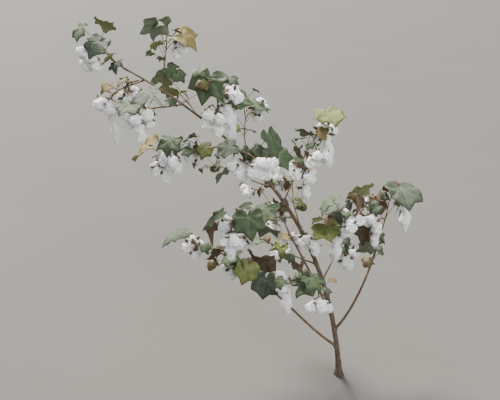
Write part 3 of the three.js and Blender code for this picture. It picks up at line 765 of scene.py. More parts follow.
leaf_stalks = mesh_piece("leaf_stalks", [stalk_rings(leaves)], stalk_skin())
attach(leaf_stalks, "root")
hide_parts(*mass_names)

# Leaf blades
# Thin blades of three to five pointed lobes, with five main veins that start at the stalk. Each is one leaf,
# cupped, wavy at its margin and paler below. Late in the season a spray's leaves are dark grey-green, green,
# yellow-green, yellow or dry and rolled up.
# Half an outline holds degrees from the midrib and shares of the blade's length.
FULL_OUTLINE = np.array([
    [0, 1.0], [4, 0.93], [10, 0.83], [17, 0.75], [25, 0.69], [33, 0.73], [41, 0.8], [47, 0.86], [52, 0.91],
    [57, 0.85], [64, 0.75], [73, 0.66], [84, 0.62], [94, 0.65], [103, 0.68], [110, 0.665], [119, 0.635],
    [130, 0.59], [143, 0.5], [156, 0.38], [168, 0.22], [176, 0.1], [180, 0.05],
])
SMALL_OUTLINE = FULL_OUTLINE[[0, 1, 2, 4, 6, 8, 9, 10, 12, 14, 16, 18, 20, 22]]
FULL_RINGS, SMALL_RINGS = np.array([0.14, 0.4, 0.65, 0.85, 1.0]), np.array([0.3, 0.65, 1.0])
LOBE_ANGLES = [-104, -52, 0, 52, 104]
HALF_BLADE, FULL_SEED, SMALL_SEED = 0.25, 40, 50


def rounded(outline):
    """A half outline with a point put in between each two, on the cubic (9 (b + c) - a - d) / 16."""
    padded = np.concatenate([outline[1:2] * [-1, 1], outline, [360, 0] + outline[-2:-1] * [-1, 1]])
    finer = np.repeat(outline, 2, axis=0)[:-1]
    finer[1::2] = (9 * (padded[1:-2] + padded[2:-1]) - padded[:-3] - padded[3:]) / 16
    return finer


def blade_grids(leaves, outline, share, curl, seed):
    """Closed thin blades. A point lies at p = share * reach(angle) in the blade's plane. Its height is
    -0.2 p^2 for the cup, + 0.05 p between the veins, + waves at the margin, + ripples, and
    -0.3 (p - 0.6)^2 at the lobes' tips, all in blade lengths. A curl rolls the sides up: y becomes
    sin(c y) / c, and z gains (1 - cos(c y)) / c. A weaker one does the same with x. The underside and the
    top lie 0.25 mm to either side of that surface. Each leaf has its own seeded lobes, notches and curl."""
    chance = np.random.default_rng(seed)
    n = len(leaves)
    angles = np.concatenate([outline[:, 0], -outline[-2:0:-1, 0]]) * DEGREE
    reach = np.concatenate([outline[:, 1], outline[-2:0:-1, 1]])
    lobe_ways = np.array(LOBE_ANGLES) * DEGREE
    cut = chance.uniform(-0.1, 0.28, (n, 1))
    whole = 0.62 + 0.28 * np.cos(angles) ** 2 * (np.cos(angles) > 0)
    whole = np.minimum(whole, np.maximum(reach, 0.05) + 0.2)
    lobes = swell(angles - lobe_ways[:, None], 0.33)
    reach = mix(reach, whole, cut) * (1 + chance.uniform(-0.1, 0.08, (n, len(lobe_ways))) @ lobes)
    bites = chance.uniform(-2.4, 2.4, (n, 1))
    reach = reach * (1 - chance.choice([0, 0, 0.16, 0.3], (n, 1)) * swell(angles - bites, 0.13))
    p = share[:, None] * reach[:, None]
    x, y = p * np.cos(angles), p * np.sin(angles)
    place = stacked(x, y, share[:, None])
    vein = swell(angles[:, None] - lobe_ways, 0.17).sum(axis=1)
    waves = np.sin(angles * chance.integers(5, 9, (n, 1)) + chance.uniform(0, 6.3, (n, 1)))[:, None]
    z = -0.2 * p**2 + 0.05 * p * (1 - vein) + 0.045 * waves * share[:, None] ** 3
    z = z - 0.3 * np.maximum(0, p - 0.6) ** 2
    folds = stacked(x, y, 3.0 * np.arange(n)[:, None, None])
    z = z + (0.006 + 0.022 * curl) * ripples(folds, 0.42, seed + 9) * np.minimum(1, 2 * share[:, None])
    c = curl * chance.uniform(0.5, 1.3, (n, 1, 1)) + 1e-3
    z, y = z + (1 - np.cos(c * y)) / c, np.sin(c * y) / c
    c = -0.6 * curl * chance.uniform(-0.3, 1.3, (n, 1, 1)) + 1e-3
    z, x = z + (1 - np.cos(c * x)) / c, np.sin(c * x) / c
    size, end, midrib, across, normal = (
        np.array([leaf[key] for leaf in leaves]).reshape(n, 1, 1, -1)
        for key in ("length", "end", "midrib", "across", "normal")
    )
    sheet = end + (midrib * x[..., None] + across * y[..., None] + normal * z[..., None]) * size
    round_it = np.roll(sheet, -1, axis=2) - np.roll(sheet, 1, axis=2)
    depth = HALF_BLADE * unit(np.cross(np.gradient(sheet, axis=1), round_it))
    grid = np.concatenate([sheet - depth, (sheet + depth)[:, ::-1]], axis=1)
    marks = {
        "blade": np.concatenate([place, place[:, ::-1]], axis=1),
        "under": np.repeat([1.0, 0.0], len(share))[:, None],
        "own": chance.uniform(0, 1, (n, 1, 1)),
    }
    return closed_surfaces(grid, **marks)


def blade_material(name, blade, under, vein, margin, dryness):
    """A leaf blade: matt, faintly waxy skin. 'blade' holds (along, across) in blade lengths, and the share of
    the way to the margin. Five pale main veins 2 mm wide taper outwards, side veins leave them about every
    9 mm at 50 degrees, and a net 3 mm wide, drawn that coarse to show, fills between. All of them wander by a
    few millimetres. The margin and a few spots dry first, and the underside is paler, with plainer veins."""
    roughness = mix(0.6, 0.85, dryness)
    add, finish = start_material(name, {"Roughness": roughness, "Specular IOR Level": 0.3})
    place = read_mark(add, "blade", "Vector")
    below = read_mark(add, "under", "Fac")
    own = read_mark(add, "own", "Fac")
    object_place = add("TexCoord").outputs["Object"]
    share = add("SeparateXYZ", [place]).outputs[2]
    noise = add("TexNoise", {"Vector": object_place, "Scale": 38.0, "Detail": 1.0})
    centred = [noise.outputs["Color"], (0.5, 0.5, 0.5)]
    wander = add("VectorMath", centred, operation="SUBTRACT")
    bent = [wander, (0.11, 0.11, 0.0), place]
    place = add("VectorMath", bent, operation="MULTIPLY_ADD")
    along_it, across, _ = add("SeparateXYZ", [place]).outputs
    across = add("Math", [across], operation="ABSOLUTE")
    folded = add("CombineXYZ", [along_it, across])
    aside, out = None, None
    for angle in LOBE_ANGLES[2:]:
        s, c = math.sin(angle * DEGREE), math.cos(angle * DEGREE)
        far, off = (
            add("VectorMath", [folded, way], operation="DOT_PRODUCT").outputs["Value"]
            for way in ((c, s, 0), (s, -c, 0))
        )
        off = add("Math", [off], operation="ABSOLUTE")
        if aside is None:
            aside, out = off, far
            continue
        nearer = add("Math", [off, aside], operation="LESS_THAN")
        aside = add("Math", [off, aside], operation="MINIMUM")
        out = add("Mix", {0: nearer, 2: out, 3: far})
    width = add("MapRange", [out, 0.0, 0.9, 0.017, 0.004])
    main = add("Math", [aside, width], operation="DIVIDE")
    main = add("MapRange", [main, 0.5, 1.2, 1.0, 0.0])
    leaving = add("Math", [aside, -0.84, out], operation="MULTIPLY_ADD")
    leaving = add("Math", [leaving, 0.062], operation="PINGPONG")
    side_vein = add("MapRange", [leaving, 0.002, 0.008, 0.5, 0.0])
    fading = add("MapRange", [aside, 0.1, 0.32, 1.0, 0.1])
    side_vein = add("Math", [side_vein, fading], operation="MULTIPLY")
    flat = add("Mapping", {"Vector": place, "Scale": (1.0, 1.0, 0.0)})
    cells = add("TexVoronoi", {"Vector": flat, "Scale": 24.0}, feature="DISTANCE_TO_EDGE")
    net = add("MapRange", [cells, 0.0, 0.12, 0.2, 0.0])
    veins = add("Math", [main, side_vein], operation="MAXIMUM")
    veins = add("Math", [veins, net], operation="MAXIMUM")
    mottle = add("TexNoise", {"Vector": object_place, "Scale": 60.0, "Detail": 5.0, "Roughness": 0.65})
    colour = add("ValToRGB", {"Fac": mottle}, zip((0.3, 0.5, 0.72), blade))
    edge = add("Math", [mottle, 0.9, share], operation="MULTIPLY_ADD")
    edge = add("MapRange", [edge, 1.34, 1.52, 0.0, 0.85])
    shifted = add("VectorMath", [flat, object_place], operation="ADD")
    spots = add("TexVoronoi", {"Vector": shifted, "Scale": 6.5})
    spots = add("MapRange", [spots, 0.02, 0.12, 0.7, 0.0])
    edge = add("Math", [edge, spots], operation="MAXIMUM")
    pale = add("Math", [below, 0.75], operation="MULTIPLY")
    shown = add("Math", [veins, 0.6], operation="MULTIPLY")
    colour = layered(add, colour, (edge, margin), (pale, under), (shown, vein))
    tone = add("MapRange", [own, 0.0, 1.0, 0.8, 1.2])
    colour = add("HueSaturation", {"Color": colour, "Value": tone})
    height = add("Math", [veins, -0.7, mottle], operation="MULTIPLY_ADD")
    return finish(colour, height, 0.6, 0.0008)


# Name, colours of the blade, underside, veins, margin, dryness, and how much a blade rolls up
LEAF_KINDS = [
    ("grey_green", ["#2c3327", "#3b4334", "#4c5344"], "#5c6352", "#747b66", "#38301f", 0.2, 0.5),
    ("deep_green", ["#293520", "#37472c", "#49593a"], "#596349", "#727b5c", "#3b331e", 0.1, 0.4),
    ("yellow_green", ["#4b5526", "#5f6931", "#727840"], "#6b7149", "#8c8c64", "#523f1d", 0.2, 0.6),
    ("yellow", ["#63572a", "#716436", "#7d7147"], "#716747", "#8b8160", "#482f17", 0.4, 1.0),
    ("dry", ["#3b3023", "#514230", "#64543f"], "#5a4d3c", "#756650", "#2f251b", 1.0, 2.6),
]
# The kinds of each spray's leaves, from the lowest sprays to the crown, dealt in turn, and the heights in mm
# where the low and the middle sprays end
LOW_SPRAYS, MIDDLE_SPRAYS, HIGH_SPRAYS = [0, 4, 1, 0, 3], [1, 0, 2, 1, 4], [2, 1, 1, 3, 0]
LOW_HEIGHT, MIDDLE_HEIGHT = 420, 750
dealt = [{"full": [], "small": []} for _ in LEAF_KINDS]
for size, group in (("full", leaves), ("small", small_leaves)):
    for number, leaf in enumerate(group):
        height, spray = leaf["end"][2], leaf["spray"]
        hand = LOW_SPRAYS if height < LOW_HEIGHT else MIDDLE_SPRAYS if height < MIDDLE_HEIGHT else HIGH_SPRAYS
        dealt[hand[(2 * spray + number) % 5 if number % 3 else spray % 5]][size].append(leaf)

for kind, (name, blade, under, vein, margin, dryness, curl) in enumerate(LEAF_KINDS):
    surfaces = [
        blade_grids(dealt[kind]["full"], rounded(FULL_OUTLINE), FULL_RINGS, curl, FULL_SEED + kind),
        blade_grids(dealt[kind]["small"], SMALL_OUTLINE, SMALL_RINGS, curl, SMALL_SEED + kind),
    ]
    material = blade_material(f"cotton_leaf_{name}", blade, under, vein, margin, dryness)
    blades = mesh_piece(f"leaves_{name}", surfaces, material)
    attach(blades, "root")
    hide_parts(*mass_names)

# Boll stalks and burs
# A boll stands on a short stalk. Its bur is the dry wall of the ripe boll, split into 4 or 5 woody valves,
# which have bent back between the locks: dark and wrinkled outside, tan and smooth inside, with a sharp tip.
PEDICEL_ROWS, PEDICEL_SIDES = 10, 9
VALVE_ROWS = np.array([0.0, 0.12, 0.28, 0.45, 0.62, 0.78, 0.9, 0.985])
VALVE_ACROSS = np.array([1, 0.6, 0.25, 0.07, 0, -0.07, -0.25, -0.6, -1, -1, -0.5, 0, 0.5, 1.0])
INNER_COLUMNS = 9
VALVE_LENGTH, VALVE_RISE, VALVE_WIDTH, HALF_VALVE = 34, 13, 11, 0.45
bolls = [boll for limb in limbs for boll in limb["bolls"]]
open_bolls = [boll for boll in bolls if not boll["closed"]]
closed_bolls = [boll for boll in bolls if boll["closed"]]


def smooth(share):
    """3s^2 - 2s^3, with s kept from 0 to 1."""
    s = np.clip(share, 0, 1)
    return s * s * (3 - 2 * s)


def pedicel_rings(bolls):
    """Rings along a line from root to boll, arched 3 mm up. The radius goes from 1.6 to 2 mm, and swells by
    0.8 mm at the limb and 2.6 mm under the boll."""
    t = np.linspace(0, 1, PEDICEL_ROWS)
    arch = UP * 3 * np.sin(math.pi * t[:, None])
    ends = [boll["centre"] + boll["axis"] * 1.5 for boll in bolls]
    paths = np.array([mix(boll["root"], end, t[:, None]) + arch for boll, end in zip(bolls, ends)])
    radii = mix(1.6, 2.0, t) + 2.6 * smooth((t - 0.78) / 0.22) + 0.8 * swell(t, 0.08)
    return thin_stems(paths, radii, PEDICEL_SIDES, length=30, age=0.55)


pedicels = mesh_piece("boll_stalks", [pedicel_rings(bolls)], limb_bark)
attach(pedicels, "root")
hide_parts(*mass_names)


def valve_grids(bolls):
    """Valves of burs as closed thin shells. Along s from 0 to 1 a valve's middle goes 1 + 34 s mm outwards
    between two locks and 13 sin(2.2 s) mm along the axis, its half width is 11 (1 - s)^0.6 (0.12 + s)^0.35,
    and its sides curl forwards by 6 u^2 mm, with a low septum ridge along its inner middle. Five valves are
    smaller than four."""
    centres, axes, outs, scales = [], [], [], []
    for boll in bolls:
        ways = np.array([way for way, _ in boll["locks"]])
        seams = ways + np.roll(ways, 1, axis=0)
        seams = unit(seams - boll["axis"] * (seams @ boll["axis"])[:, None])
        outs += list(seams)
        centres += [boll["centre"]] * len(seams)
        axes += [boll["axis"]] * len(seams)
        scales += [boll["scale"] * math.sqrt(4 / len(seams))] * len(seams)
    centres, axes, outs = (np.array(v)[:, None, None] for v in (centres, axes, outs))
    sides = np.cross(axes, outs)
    scale = np.array(scales)[:, None, None]
    n = len(scale)
    chance = np.random.default_rng(61)
    s, u = VALVE_ROWS[:, None], VALVE_ACROSS
    inner = np.arange(len(u)) < INNER_COLUMNS
    bend = chance.uniform(0.8, 1.25, (n, 1, 1))
    outward = 1 + VALVE_LENGTH * s * scale * chance.uniform(0.92, 1.08, (n, 1, 1))
    forward = VALVE_RISE * np.sin(2.2 * s * bend) * scale + 1.5
    width = VALVE_WIDTH * (1 - s) ** 0.6 * (0.12 + s) ** 0.35 * scale
    septum = inner * 5 * swell(u, 0.1) * np.sin(math.pi * np.clip(s * 1.2, 0, 1))
    curl = (6 * u**2 * (1 - 0.6 * s) + septum) * scale
    twist = chance.uniform(-2.5, 2.5, (n, 1, 1)) * s * s
    thick = np.where(inner, HALF_VALVE, -HALF_VALVE)
    grid = (
        centres
        + outs * (outward + 0 * u)[..., None]
        + sides * (width * u + twist)[..., None]
        + axes * (forward + curl + thick)[..., None]
    )
    grid = grid + axes * 0.5 * ripples(grid, 7, 62)[..., None]
    shell = stacked(s * 30, u * 10, scale * 7 * np.arange(n)[:, None, None])
    return closed_surfaces(grid, inner=inner * 1.0, shell=shell)


def bur_wood():
    """Dry bur wall, thin brittle wood: dark brown with grey wrinkles 2 mm apart outside, and tan, smooth and
    slightly glossy inside. 'shell' holds (along, across) in mm, and 'inner' is 1 on the inside."""
    add, finish = start_material("dry_bur_wall", {"Roughness": 0.7})
    shell = read_mark(add, "shell", "Vector")
    inner = read_mark(add, "inner", "Fac")
    stretched = add("Mapping", {"Vector": shell, "Scale": (0.12, 0.5, 1.0)})
    wrinkles = add("TexNoise", {"Vector": stretched, "Scale": 1.0, "Detail": 4.0})
    tints = [(0.3, "#241a14"), (0.5, "#3d2c21"), (0.72, "#5e4c3d")]
    outside = add("ValToRGB", {"Fac": wrinkles}, tints)
    inside = add("ValToRGB", {"Fac": wrinkles}, [(0.3, "#6b5137"), (0.7, "#927652")])
    colour = layered(add, outside, (inner, inside))
    return finish(colour, wrinkles, 0.8, 0.0006)


burs = mesh_piece("burs", [valve_grids(open_bolls)], bur_wood())
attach(burs, "root")
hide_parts(*mass_names)

# Bracts
# Up to three leafy bracts stand round the base of each boll, fused to its stalk. By picking time they are
# dry, brown and papery, shrunk to about 20 mm, cut into long teeth, and lie against the back of the bur.
BRACTS = 3
BRACT_ROWS = np.array([0.08, 0.3, 0.52, 0.76, 1.0])
BRACT_TEETH = np.array([0.5, 0.82, 0.46, 0.95, 0.5, 1.0, 0.5, 0.9, 0.44, 0.8, 0.5])
BRACT_SPREAD, BRACT_SIZES, BRACT_RISES, HALF_BRACT = 38, (18, 26), (2, 13), 0.3


def bract_grids(bolls):
    """Bracts as closed thin fans. At u from -1 to 1 across and v from 0 to 1 along, a point lies
    size * v * r(u) mm out at 38 u degrees, r being 1 at a tooth's tip and 0.5 in a notch. It lies 2 to 13 mm
    forward where v is 1, with creases and a seeded curl. One in four is broken off short."""
    chance = np.random.default_rng(71)
    n = BRACTS * len(bolls)
    centres = np.repeat([boll["centre"] for boll in bolls], BRACTS, axis=0)[:, None, None]
    axes = np.repeat([boll["axis"] for boll in bolls], BRACTS, axis=0)
    firsts = np.repeat([side_of(boll["axis"]) for boll in bolls], BRACTS, axis=0)
    turn = np.tile(angles_round(BRACTS), len(bolls)) + chance.uniform(-0.4, 0.4, n)
    turn = turn[:, None]
    outs = firsts * np.cos(turn) + np.cross(axes, firsts) * np.sin(turn)
    sides = np.cross(axes, outs)[:, None, None]
    axes, outs = axes[:, None, None], outs[:, None, None]
    u = np.linspace(1, -1, len(BRACT_TEETH))
    u, reach = np.concatenate([u, u[::-1]]), np.concatenate([BRACT_TEETH, BRACT_TEETH[::-1]])
    inner = np.arange(len(u)) < len(BRACT_TEETH)
    v = BRACT_ROWS[:, None]
    size = chance.uniform(*BRACT_SIZES, (n, 1, 1)) * chance.choice([1, 1, 1, 0.55], (n, 1, 1))
    angle = BRACT_SPREAD * DEGREE * u * chance.uniform(0.7, 1.15, (n, 1, 1))
    far = (size * v * mix(1, reach, v**1.6))[..., None]
    rise = chance.uniform(*BRACT_RISES, (n, 1, 1))
    curl = chance.uniform(-4, 5, (n, 1, 1))
    forward = rise * v**1.4 + curl * v * u**2 + chance.uniform(-4, 4, (n, 1, 1)) * v**4 - 2
    thick = np.where(inner, HALF_BRACT, -HALF_BRACT) * (1 - 0.6 * v)
    forward = forward + 0.9 * v * np.cos(9 * u + 3 * v) + thick
    angle = angle[..., None]
    grid = centres + outs * (far * np.cos(angle)) + sides * (far * np.sin(angle)) + axes * forward[..., None]
    return closed_surfaces(grid, fan=stacked(v, u, 3.1 * np.arange(n)[:, None, None]))


def bract_paper():
    """Dry bract: papery, brown, with darker streaks that fan out like its veins, 1 mm wide and 11 mm long.
    'fan' holds the share of the way out and the place across, from -1 to 1."""
    add, finish = start_material("dry_bract", {"Roughness": 0.85})
    fan = read_mark(add, "fan", "Vector")
    veined = add("Mapping", {"Vector": fan, "Scale": (1.2, 7.0, 1.0)})
    veins = add("TexNoise", {"Vector": veined, "Scale": 1.6, "Detail": 3.0})
    tints = [(0.3, "#3e2f23"), (0.5, "#5d4937"), (0.7, "#7f6c52")]
    colour = add("ValToRGB", {"Fac": veins}, tints)
    return finish(colour, veins, 0.6, 0.0005)


bracts = mesh_piece("bracts", [bract_grids(bolls)], bract_paper())
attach(bracts, "root")
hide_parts(*mass_names)

# Closed bolls
# A few bolls haven't opened: egg-shaped capsules about 35 mm long with a short beak and a shallow groove over
# each wall, dull green to brown, dotted with dark oil glands.
CAPSULE_ROWS, CAPSULE_SIDES, CAPSULE_RADIUS, GROOVES = 22, 28, 14.0, 4


def capsule_grids(bolls):
    """Capsules: radius 14 (sin pi s^0.78)^0.62 (1 - 0.25 s^4) mm over s from 0 to 1, along 37 mm, less 10
    percent in each of 4 grooves, with faint dents 9 mm apart."""
    s = np.linspace(0.02, 0.985, CAPSULE_ROWS)
    shape = CAPSULE_RADIUS * np.sin(math.pi * s**0.78) ** 0.62 * (1 - 0.25 * s**4)
    groove = 1 - 0.1 * np.abs(np.cos(GROOVES / 2 * angles_round(CAPSULE_SIDES))) ** 8
    paths = np.array([boll["centre"] + boll["axis"] * (37 * s[:, None] - 1) for boll in bolls])
    grid = rings(paths, shape[:, None] * groove, CAPSULE_SIDES)
    grid = grid + 0.25 * ripples(grid, 9, 81)[..., None]
    return closed_surfaces(grid, ripe=s[:, None])


def capsule_skin():
    """Unripe boll wall: leathery, half glossy, green going brown from the tip, mottled every 14 mm, with
    glands 0.6 mm wide, drawn 1 mm wide to show. 'ripe' goes from 0 at the stalk to 1 at the tip."""
    constants = {"Roughness": 0.6, "Specular IOR Level": 0.35}
    add, finish = start_material("closed_boll_wall", constants)
    place = add("TexCoord").outputs["Object"]
    ripe = read_mark(add, "ripe", "Fac")
    mottle = add("TexNoise", {"Vector": place, "Scale": 70.0, "Detail": 4.0})
    brown = add("Math", [ripe, 0.5, mottle], operation="MULTIPLY_ADD")
    tints = [(0.5, "#47532a"), (0.8, "#5b4f2c"), (1.0, "#402c1c")]
    colour = add("ValToRGB", {"Fac": brown}, tints)
    glands = add("TexVoronoi", {"Vector": place, "Scale": 420.0})
    dots = add("MapRange", [glands, 0.12, 0.25, 0.6, 0.0])
    colour = layered(add, colour, (dots, "#24220f"))
    return finish(colour, mottle, 0.4, 0.0005)


capsules = mesh_piece("closed_bolls", [capsule_grids(closed_bolls)], capsule_skin())
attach(capsules, "root")
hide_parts(*mass_names)

# Lint
# Each open boll holds 4 or 5 locks of white cotton fibre round their seeds, which have fluffed out of the bur
# and sag. In some bolls a lock has slid out and hangs down. The seeds show as soft lumps, and loose fibres
# stand off the surface.
LOCK_ROWS, LOCK_COLUMNS, NEAR_ROWS = 40, 36, 24
WIDEST = 0.62
SEEDS_PER_LOCK = 12
FIBRES_PER_LEVEL = 6000
LINT_SEED = 90


def lock_grids(bolls, seed):
    """Locks as closed lumpy rolls round their middle lines. Along s from 0 to 1 the line's t goes to 1.2,
    and the radius swells from 0.55 of itself to all of it at s = 0.62 and rounds off to nothing at the tip,
    or from 0.35 where a lock hangs. Twelve seeds each lift the surface by up to 30 percent round them, and
    the fluff between them puffs up by the absolute value of ripples 15 and 8 mm long, which leaves sharp
    creases between round tufts."""
    chance = np.random.default_rng(seed)
    locks = [(boll, way, hang) for boll in bolls for way, hang in boll["locks"]]
    n = len(locks)
    ways = np.array([way for _, way, _ in locks])[:, None]
    centres, axes = (np.array([boll[key] for boll, _, _ in locks])[:, None] for key in ("centre", "axis"))
    hangs = np.array([hang for _, _, hang in locks])[:, None, None]
    scales = np.array([boll["scale"] for boll, _, _ in locks])[:, None, None]
    counts = np.array([len(boll["locks"]) for boll, _, _ in locks])[:, None]
    near, tip = np.linspace(0.02, WIDEST, NEAR_ROWS), np.linspace(0.07, 1.53, LOCK_ROWS - NEAR_ROWS)
    s = np.concatenate([near, WIDEST + (1 - WIDEST) * np.sin(tip)])
    hanging = smooth((hangs[:, 0] - 20) / 10)
    shape = np.concatenate([mix(0.55, 1, smooth(near / 0.6)), np.cos(tip) ** 0.9])
    thin = np.concatenate([mix(0.35, 0.95, smooth(near / WIDEST) ** 1.4), 0.95 * np.cos(tip) ** 0.8])
    shape = mix(shape, thin, hanging)
    shape = shape * (1 - 0.16 * hanging * np.cos(2 * math.pi * (2.6 * s + chance.uniform(0, 1, (n, 1)))))
    t = (1.2 * s)[None, :, None]
    line = lock_point(centres, axes, scales, ways, hangs, t)
    sway = chance.normal(size=(n, 1, 3)) * mix(1.2, 6.0, hanging)[:, None] * t**2
    line = line + sway * [1, 1, 0.3]
    headings = unit(np.gradient(line, axis=1))
    sides = square_to(headings, unit(np.cross(axes, ways)))
    fronts = np.cross(headings, sides)
    radius = LOCK_RADIUS * scales[..., 0] * np.sqrt(4 / counts) * shape
    angles = angles_round(LOCK_COLUMNS)
    seeds = np.arange(SEEDS_PER_LOCK)
    seed_s = 0.1 + 0.86 * (seeds + 0.5) / SEEDS_PER_LOCK + chance.uniform(-0.03, 0.03, (n, SEEDS_PER_LOCK))
    seed_a = 2.4 * seeds + chance.uniform(0, 6.3, (n, 1)) + chance.uniform(-0.5, 0.5, (n, SEEDS_PER_LOCK))
    size = chance.uniform(0.6, 1, (n, 1, 1, SEEDS_PER_LOCK))
    off = np.angle(np.exp(1j * (angles[:, None] - seed_a[:, None, None]))) / 0.6
    gone = (s[:, None, None] - seed_s[:, None, None]) / mix(0.11, 0.08, hanging)[:, :, None, None]
    lumps = (size * np.exp(-(off**2) - gone**2)).max(axis=-1)
    wide, deep = 0.98 * np.cos(angles), np.where(np.sin(angles) > 0, 0.88, 0.86) * np.sin(angles)
    lift = (radius[..., None] * (0.84 + 0.3 * lumps))[..., None]
    grid = line[:, :, None] + (sides[:, :, None] * wide[:, None] + fronts[:, :, None] * deep[:, None]) * lift
    outward = unit(grid - line[:, :, None])
    puffs, tufts = np.abs(ripples(grid, 15, seed + 1)), np.abs(ripples(grid, 8, seed + 2))
    rough = 1.7 * (np.minimum(puffs, 1.6) - 0.8) + 1.1 * (np.minimum(tufts, 1.6) - 0.8)
    rough = rough + 0.25 * ripples(grid, 4.5, seed + 3)
    grid = grid + outward * (rough * np.minimum(1, shape * 1.5)[..., None])[..., None]
    # Painted shade: the crease mark darkens the lint near the bur, where the seeds' lumps are low, and in the
    # folds between puffs and tufts.
    bare = 1 - smooth((s - 0.04) / 0.3)
    crease = 0.45 * bare[:, None] + 0.25 * (1 - lumps) + 0.3 * np.exp(-3 * puffs) + 0.2 * np.exp(-3 * tufts)
    return grid, outward, closed_surfaces(grid, crease=crease)


def lint_fibre(name):
    """Seed cotton: cellulose fibre with no gloss of its own. To the eye it is soft white, with painted shade,
    a greyer cream, near the bur, between the seeds and in the folds between tufts, which the crease mark
    holds, and in the hollows of the matted tufts. It has a downy edge, matted tufts 2 to 7 mm wide and wisps
    4 mm wide, drawn that coarse to show, clouds of tone 20 mm wide, and a few brown specks of leaf trash 1 mm
    wide."""
    down = {"Sheen Weight": 0.3, "Sheen Roughness": 0.6, "Subsurface Weight": 0.1, "Subsurface Scale": 0.002}
    add, finish = start_material(name, {"Roughness": 0.95, **down})
    place = add("TexCoord").outputs["Object"]
    crease = read_mark(add, "crease", "Fac")
    matted = {"Vector": place, "Scale": 150.0, "Detail": 8.0, "Roughness": 0.72, "Distortion": 0.6}
    tufts = add("TexNoise", matted)
    wispy = {"Vector": place, "Scale": 230.0, "Detail": 4.0, "Roughness": 0.6, "Offset": 1.0, "Gain": 2.0}
    wisps = add("TexNoise", {**wispy, "Distortion": 1.2}, noise_type="RIDGED_MULTIFRACTAL")
    clouds = add("TexNoise", {"Vector": place, "Scale": 45.0, "Detail": 2.0})
    # Painted shade: the crease mark, and the hollows of the matted tufts, turn the white towards grey cream.
    tone = add("Math", [clouds, 0.35, crease], operation="MULTIPLY_ADD")
    tone = add("Math", [tufts, -0.3, tone], operation="MULTIPLY_ADD")
    tints = [(0.05, "#fdfdfc"), (0.33, "#efeeea"), (0.72, "#b9b2a5")]
    colour = add("ValToRGB", {"Fac": tone}, tints)
    trash = add("TexVoronoi", {"Vector": place, "Scale": 130.0})
    specks = add("MapRange", [trash, 0.06, 0.1, 0.8, 0.0])
    some = add("MapRange", [clouds, 0.57, 0.6, 0.0, 1.0])
    specks = add("Math", [specks, some], operation="MULTIPLY")
    colour = layered(add, colour, (specks, "#6b5237"))
    height = add("Math", [wisps, 0.18, tufts], operation="MULTIPLY_ADD")
    return finish(colour, height, 0.9, 0.003)


def fibre_spikes(grid, outward, count, seed):
    """Loose fibres as closed spikes of 10 faces: two rings of three points, and a tip. They stand off seeded
    points of the lint, 1.5 to 5 mm long, bent by the square of the way gone, and 0.2 mm thick, thicker than
    real ones, to show."""
    chance = np.random.default_rng(seed)
    lock, row, column = (chance.integers(least, most, count) for least, most in zip((0, 4, 0), grid.shape))
    starts, ways = grid[lock, row, column][:, None], outward[lock, row, column][:, None]
    ways = unit(ways + 0.9 * chance.normal(size=(count, 1, 3)) * [1, 1, 0.7])
    length = 1.5 + 3.5 * chance.uniform(0, 1, (count, 1, 1)) ** 2
    t = np.array([-0.2, 0.5, 1])[:, None]
    bend = chance.normal(size=(count, 1, 3)) * 1.1
    paths = starts + ways * length * t + (bend - UP * 0.25) * length * t * np.abs(t)
    points = rings(paths, np.array([[0.1], [0.08], [0]]), 3).reshape(count, 9, 3)[:, :7]
    root_end, walls, tip = [[0, 2, 1]], [], [[3, 4, 6], [4, 5, 6], [5, 3, 6]]
    for i, k in ((0, 1), (1, 2), (2, 0)):
        walls += [[i, k, k + 3], [i, k + 3, i + 3]]
    faces = np.array(root_end + walls + tip)[None] + 7 * np.arange(count)[:, None, None]
    # The loose fibres carry no painted crease shade.
    return points.reshape(-1, 3), faces.reshape(-1, 3), {"crease": np.zeros(7 * count)}


lint = lint_fibre("cotton_lint")
by_height = sorted(open_bolls, key=lambda boll: boll["centre"][2])
third = math.ceil(len(by_height) / 3)
for number, level in enumerate(("lower", "middle", "upper")):
    seed = LINT_SEED + 5 * number
    grid, outward, surfaces = lock_grids(by_height[number * third : (number + 1) * third], seed)
    locks = mesh_piece(f"lint_{level}", [surfaces], lint)
    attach(locks, "root")
    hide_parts(*mass_names)
    spikes = fibre_spikes(grid, outward, FIBRES_PER_LEVEL, seed + 3)
    fibres = mesh_piece(f"loose_fibres_{level}", [spikes], lint)
    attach(fibres, "root")

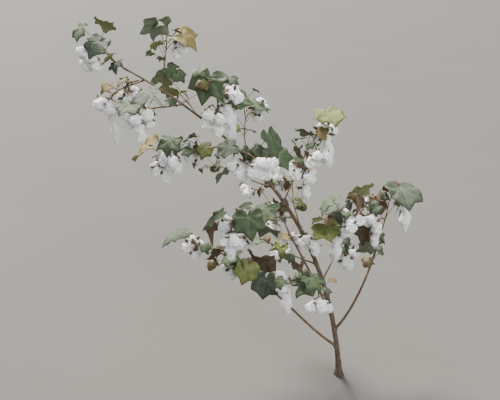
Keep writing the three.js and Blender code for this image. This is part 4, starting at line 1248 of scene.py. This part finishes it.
# Studio
# A plain pale floor at ground level, the soft light of a hazy low sun from behind on the left and of a bright
# sky all round, and a camera where the photographer stood: 1.3 m up, 1.6 m in front, about 25 degrees down.
HALF_FLOOR = 20
PLANT_MIDDLE = (-0.25, 0, 0.5)


def floor_plane():
    """A level square 40 m wide at height 0, of pale matt paint with a faint mottle 0.7 m wide."""
    mesh = bpy.data.meshes.new("floor")
    corners = [(x * HALF_FLOOR, y * HALF_FLOOR, 0) for x, y in ((-1, -1), (1, -1), (1, 1), (-1, 1))]
    mesh.from_pydata(corners, [], [(0, 1, 2, 3)])
    add, finish = start_material("pale_floor_paint", {"Roughness": 0.9})
    place = add("TexCoord").outputs["Object"]
    mottle = add("TexNoise", {"Vector": place, "Scale": 1.5, "Detail": 3.0})
    colour = add("ValToRGB", {"Fac": mottle}, [(0.3, "#54524e"), (0.7, "#575551")])
    mesh.materials.append(finish(colour))
    plane = bpy.data.objects.new("floor", mesh)
    bpy.context.scene.collection.objects.link(plane)
    return plane


def aimed(thing, place, target):
    """Puts a camera or lamp at a place and points it at a target."""
    thing.location = place
    thing.rotation_euler = (Vector(target) - Vector(place)).to_track_quat("-Z", "Y").to_euler()
    bpy.context.scene.collection.objects.link(thing)


floor_plane()
sun = bpy.data.lights.new("hazy_sun", "SUN")
sun.energy, sun.angle, sun.color = 14, 20 * DEGREE, (1, 0.965, 0.9)
aimed(bpy.data.objects.new("hazy_sun", sun), (-1.2, 1.5, 2.6), PLANT_MIDDLE)
fill = bpy.data.lights.new("fill_lamp", "AREA")
fill.energy, fill.size, fill.color = 140, 3.0, (0.95, 0.975, 1)
aimed(bpy.data.objects.new("fill_lamp", fill), (1.4, -2.6, 2.4), PLANT_MIDDLE)

world = bpy.data.worlds.new("studio")
world.use_nodes = True
sky = world.node_tree.nodes["Background"]
plug(sky, {"Color": linear("#dee5ed"), "Strength": 1.0})
bpy.context.scene.world = world

view = bpy.data.cameras.new("camera")
view.lens = 45
camera = bpy.data.objects.new("camera", view)
aimed(camera, (-0.27, -1.62, 1.3), (-0.285, 0.05, 0.585))
bpy.context.scene.camera = camera
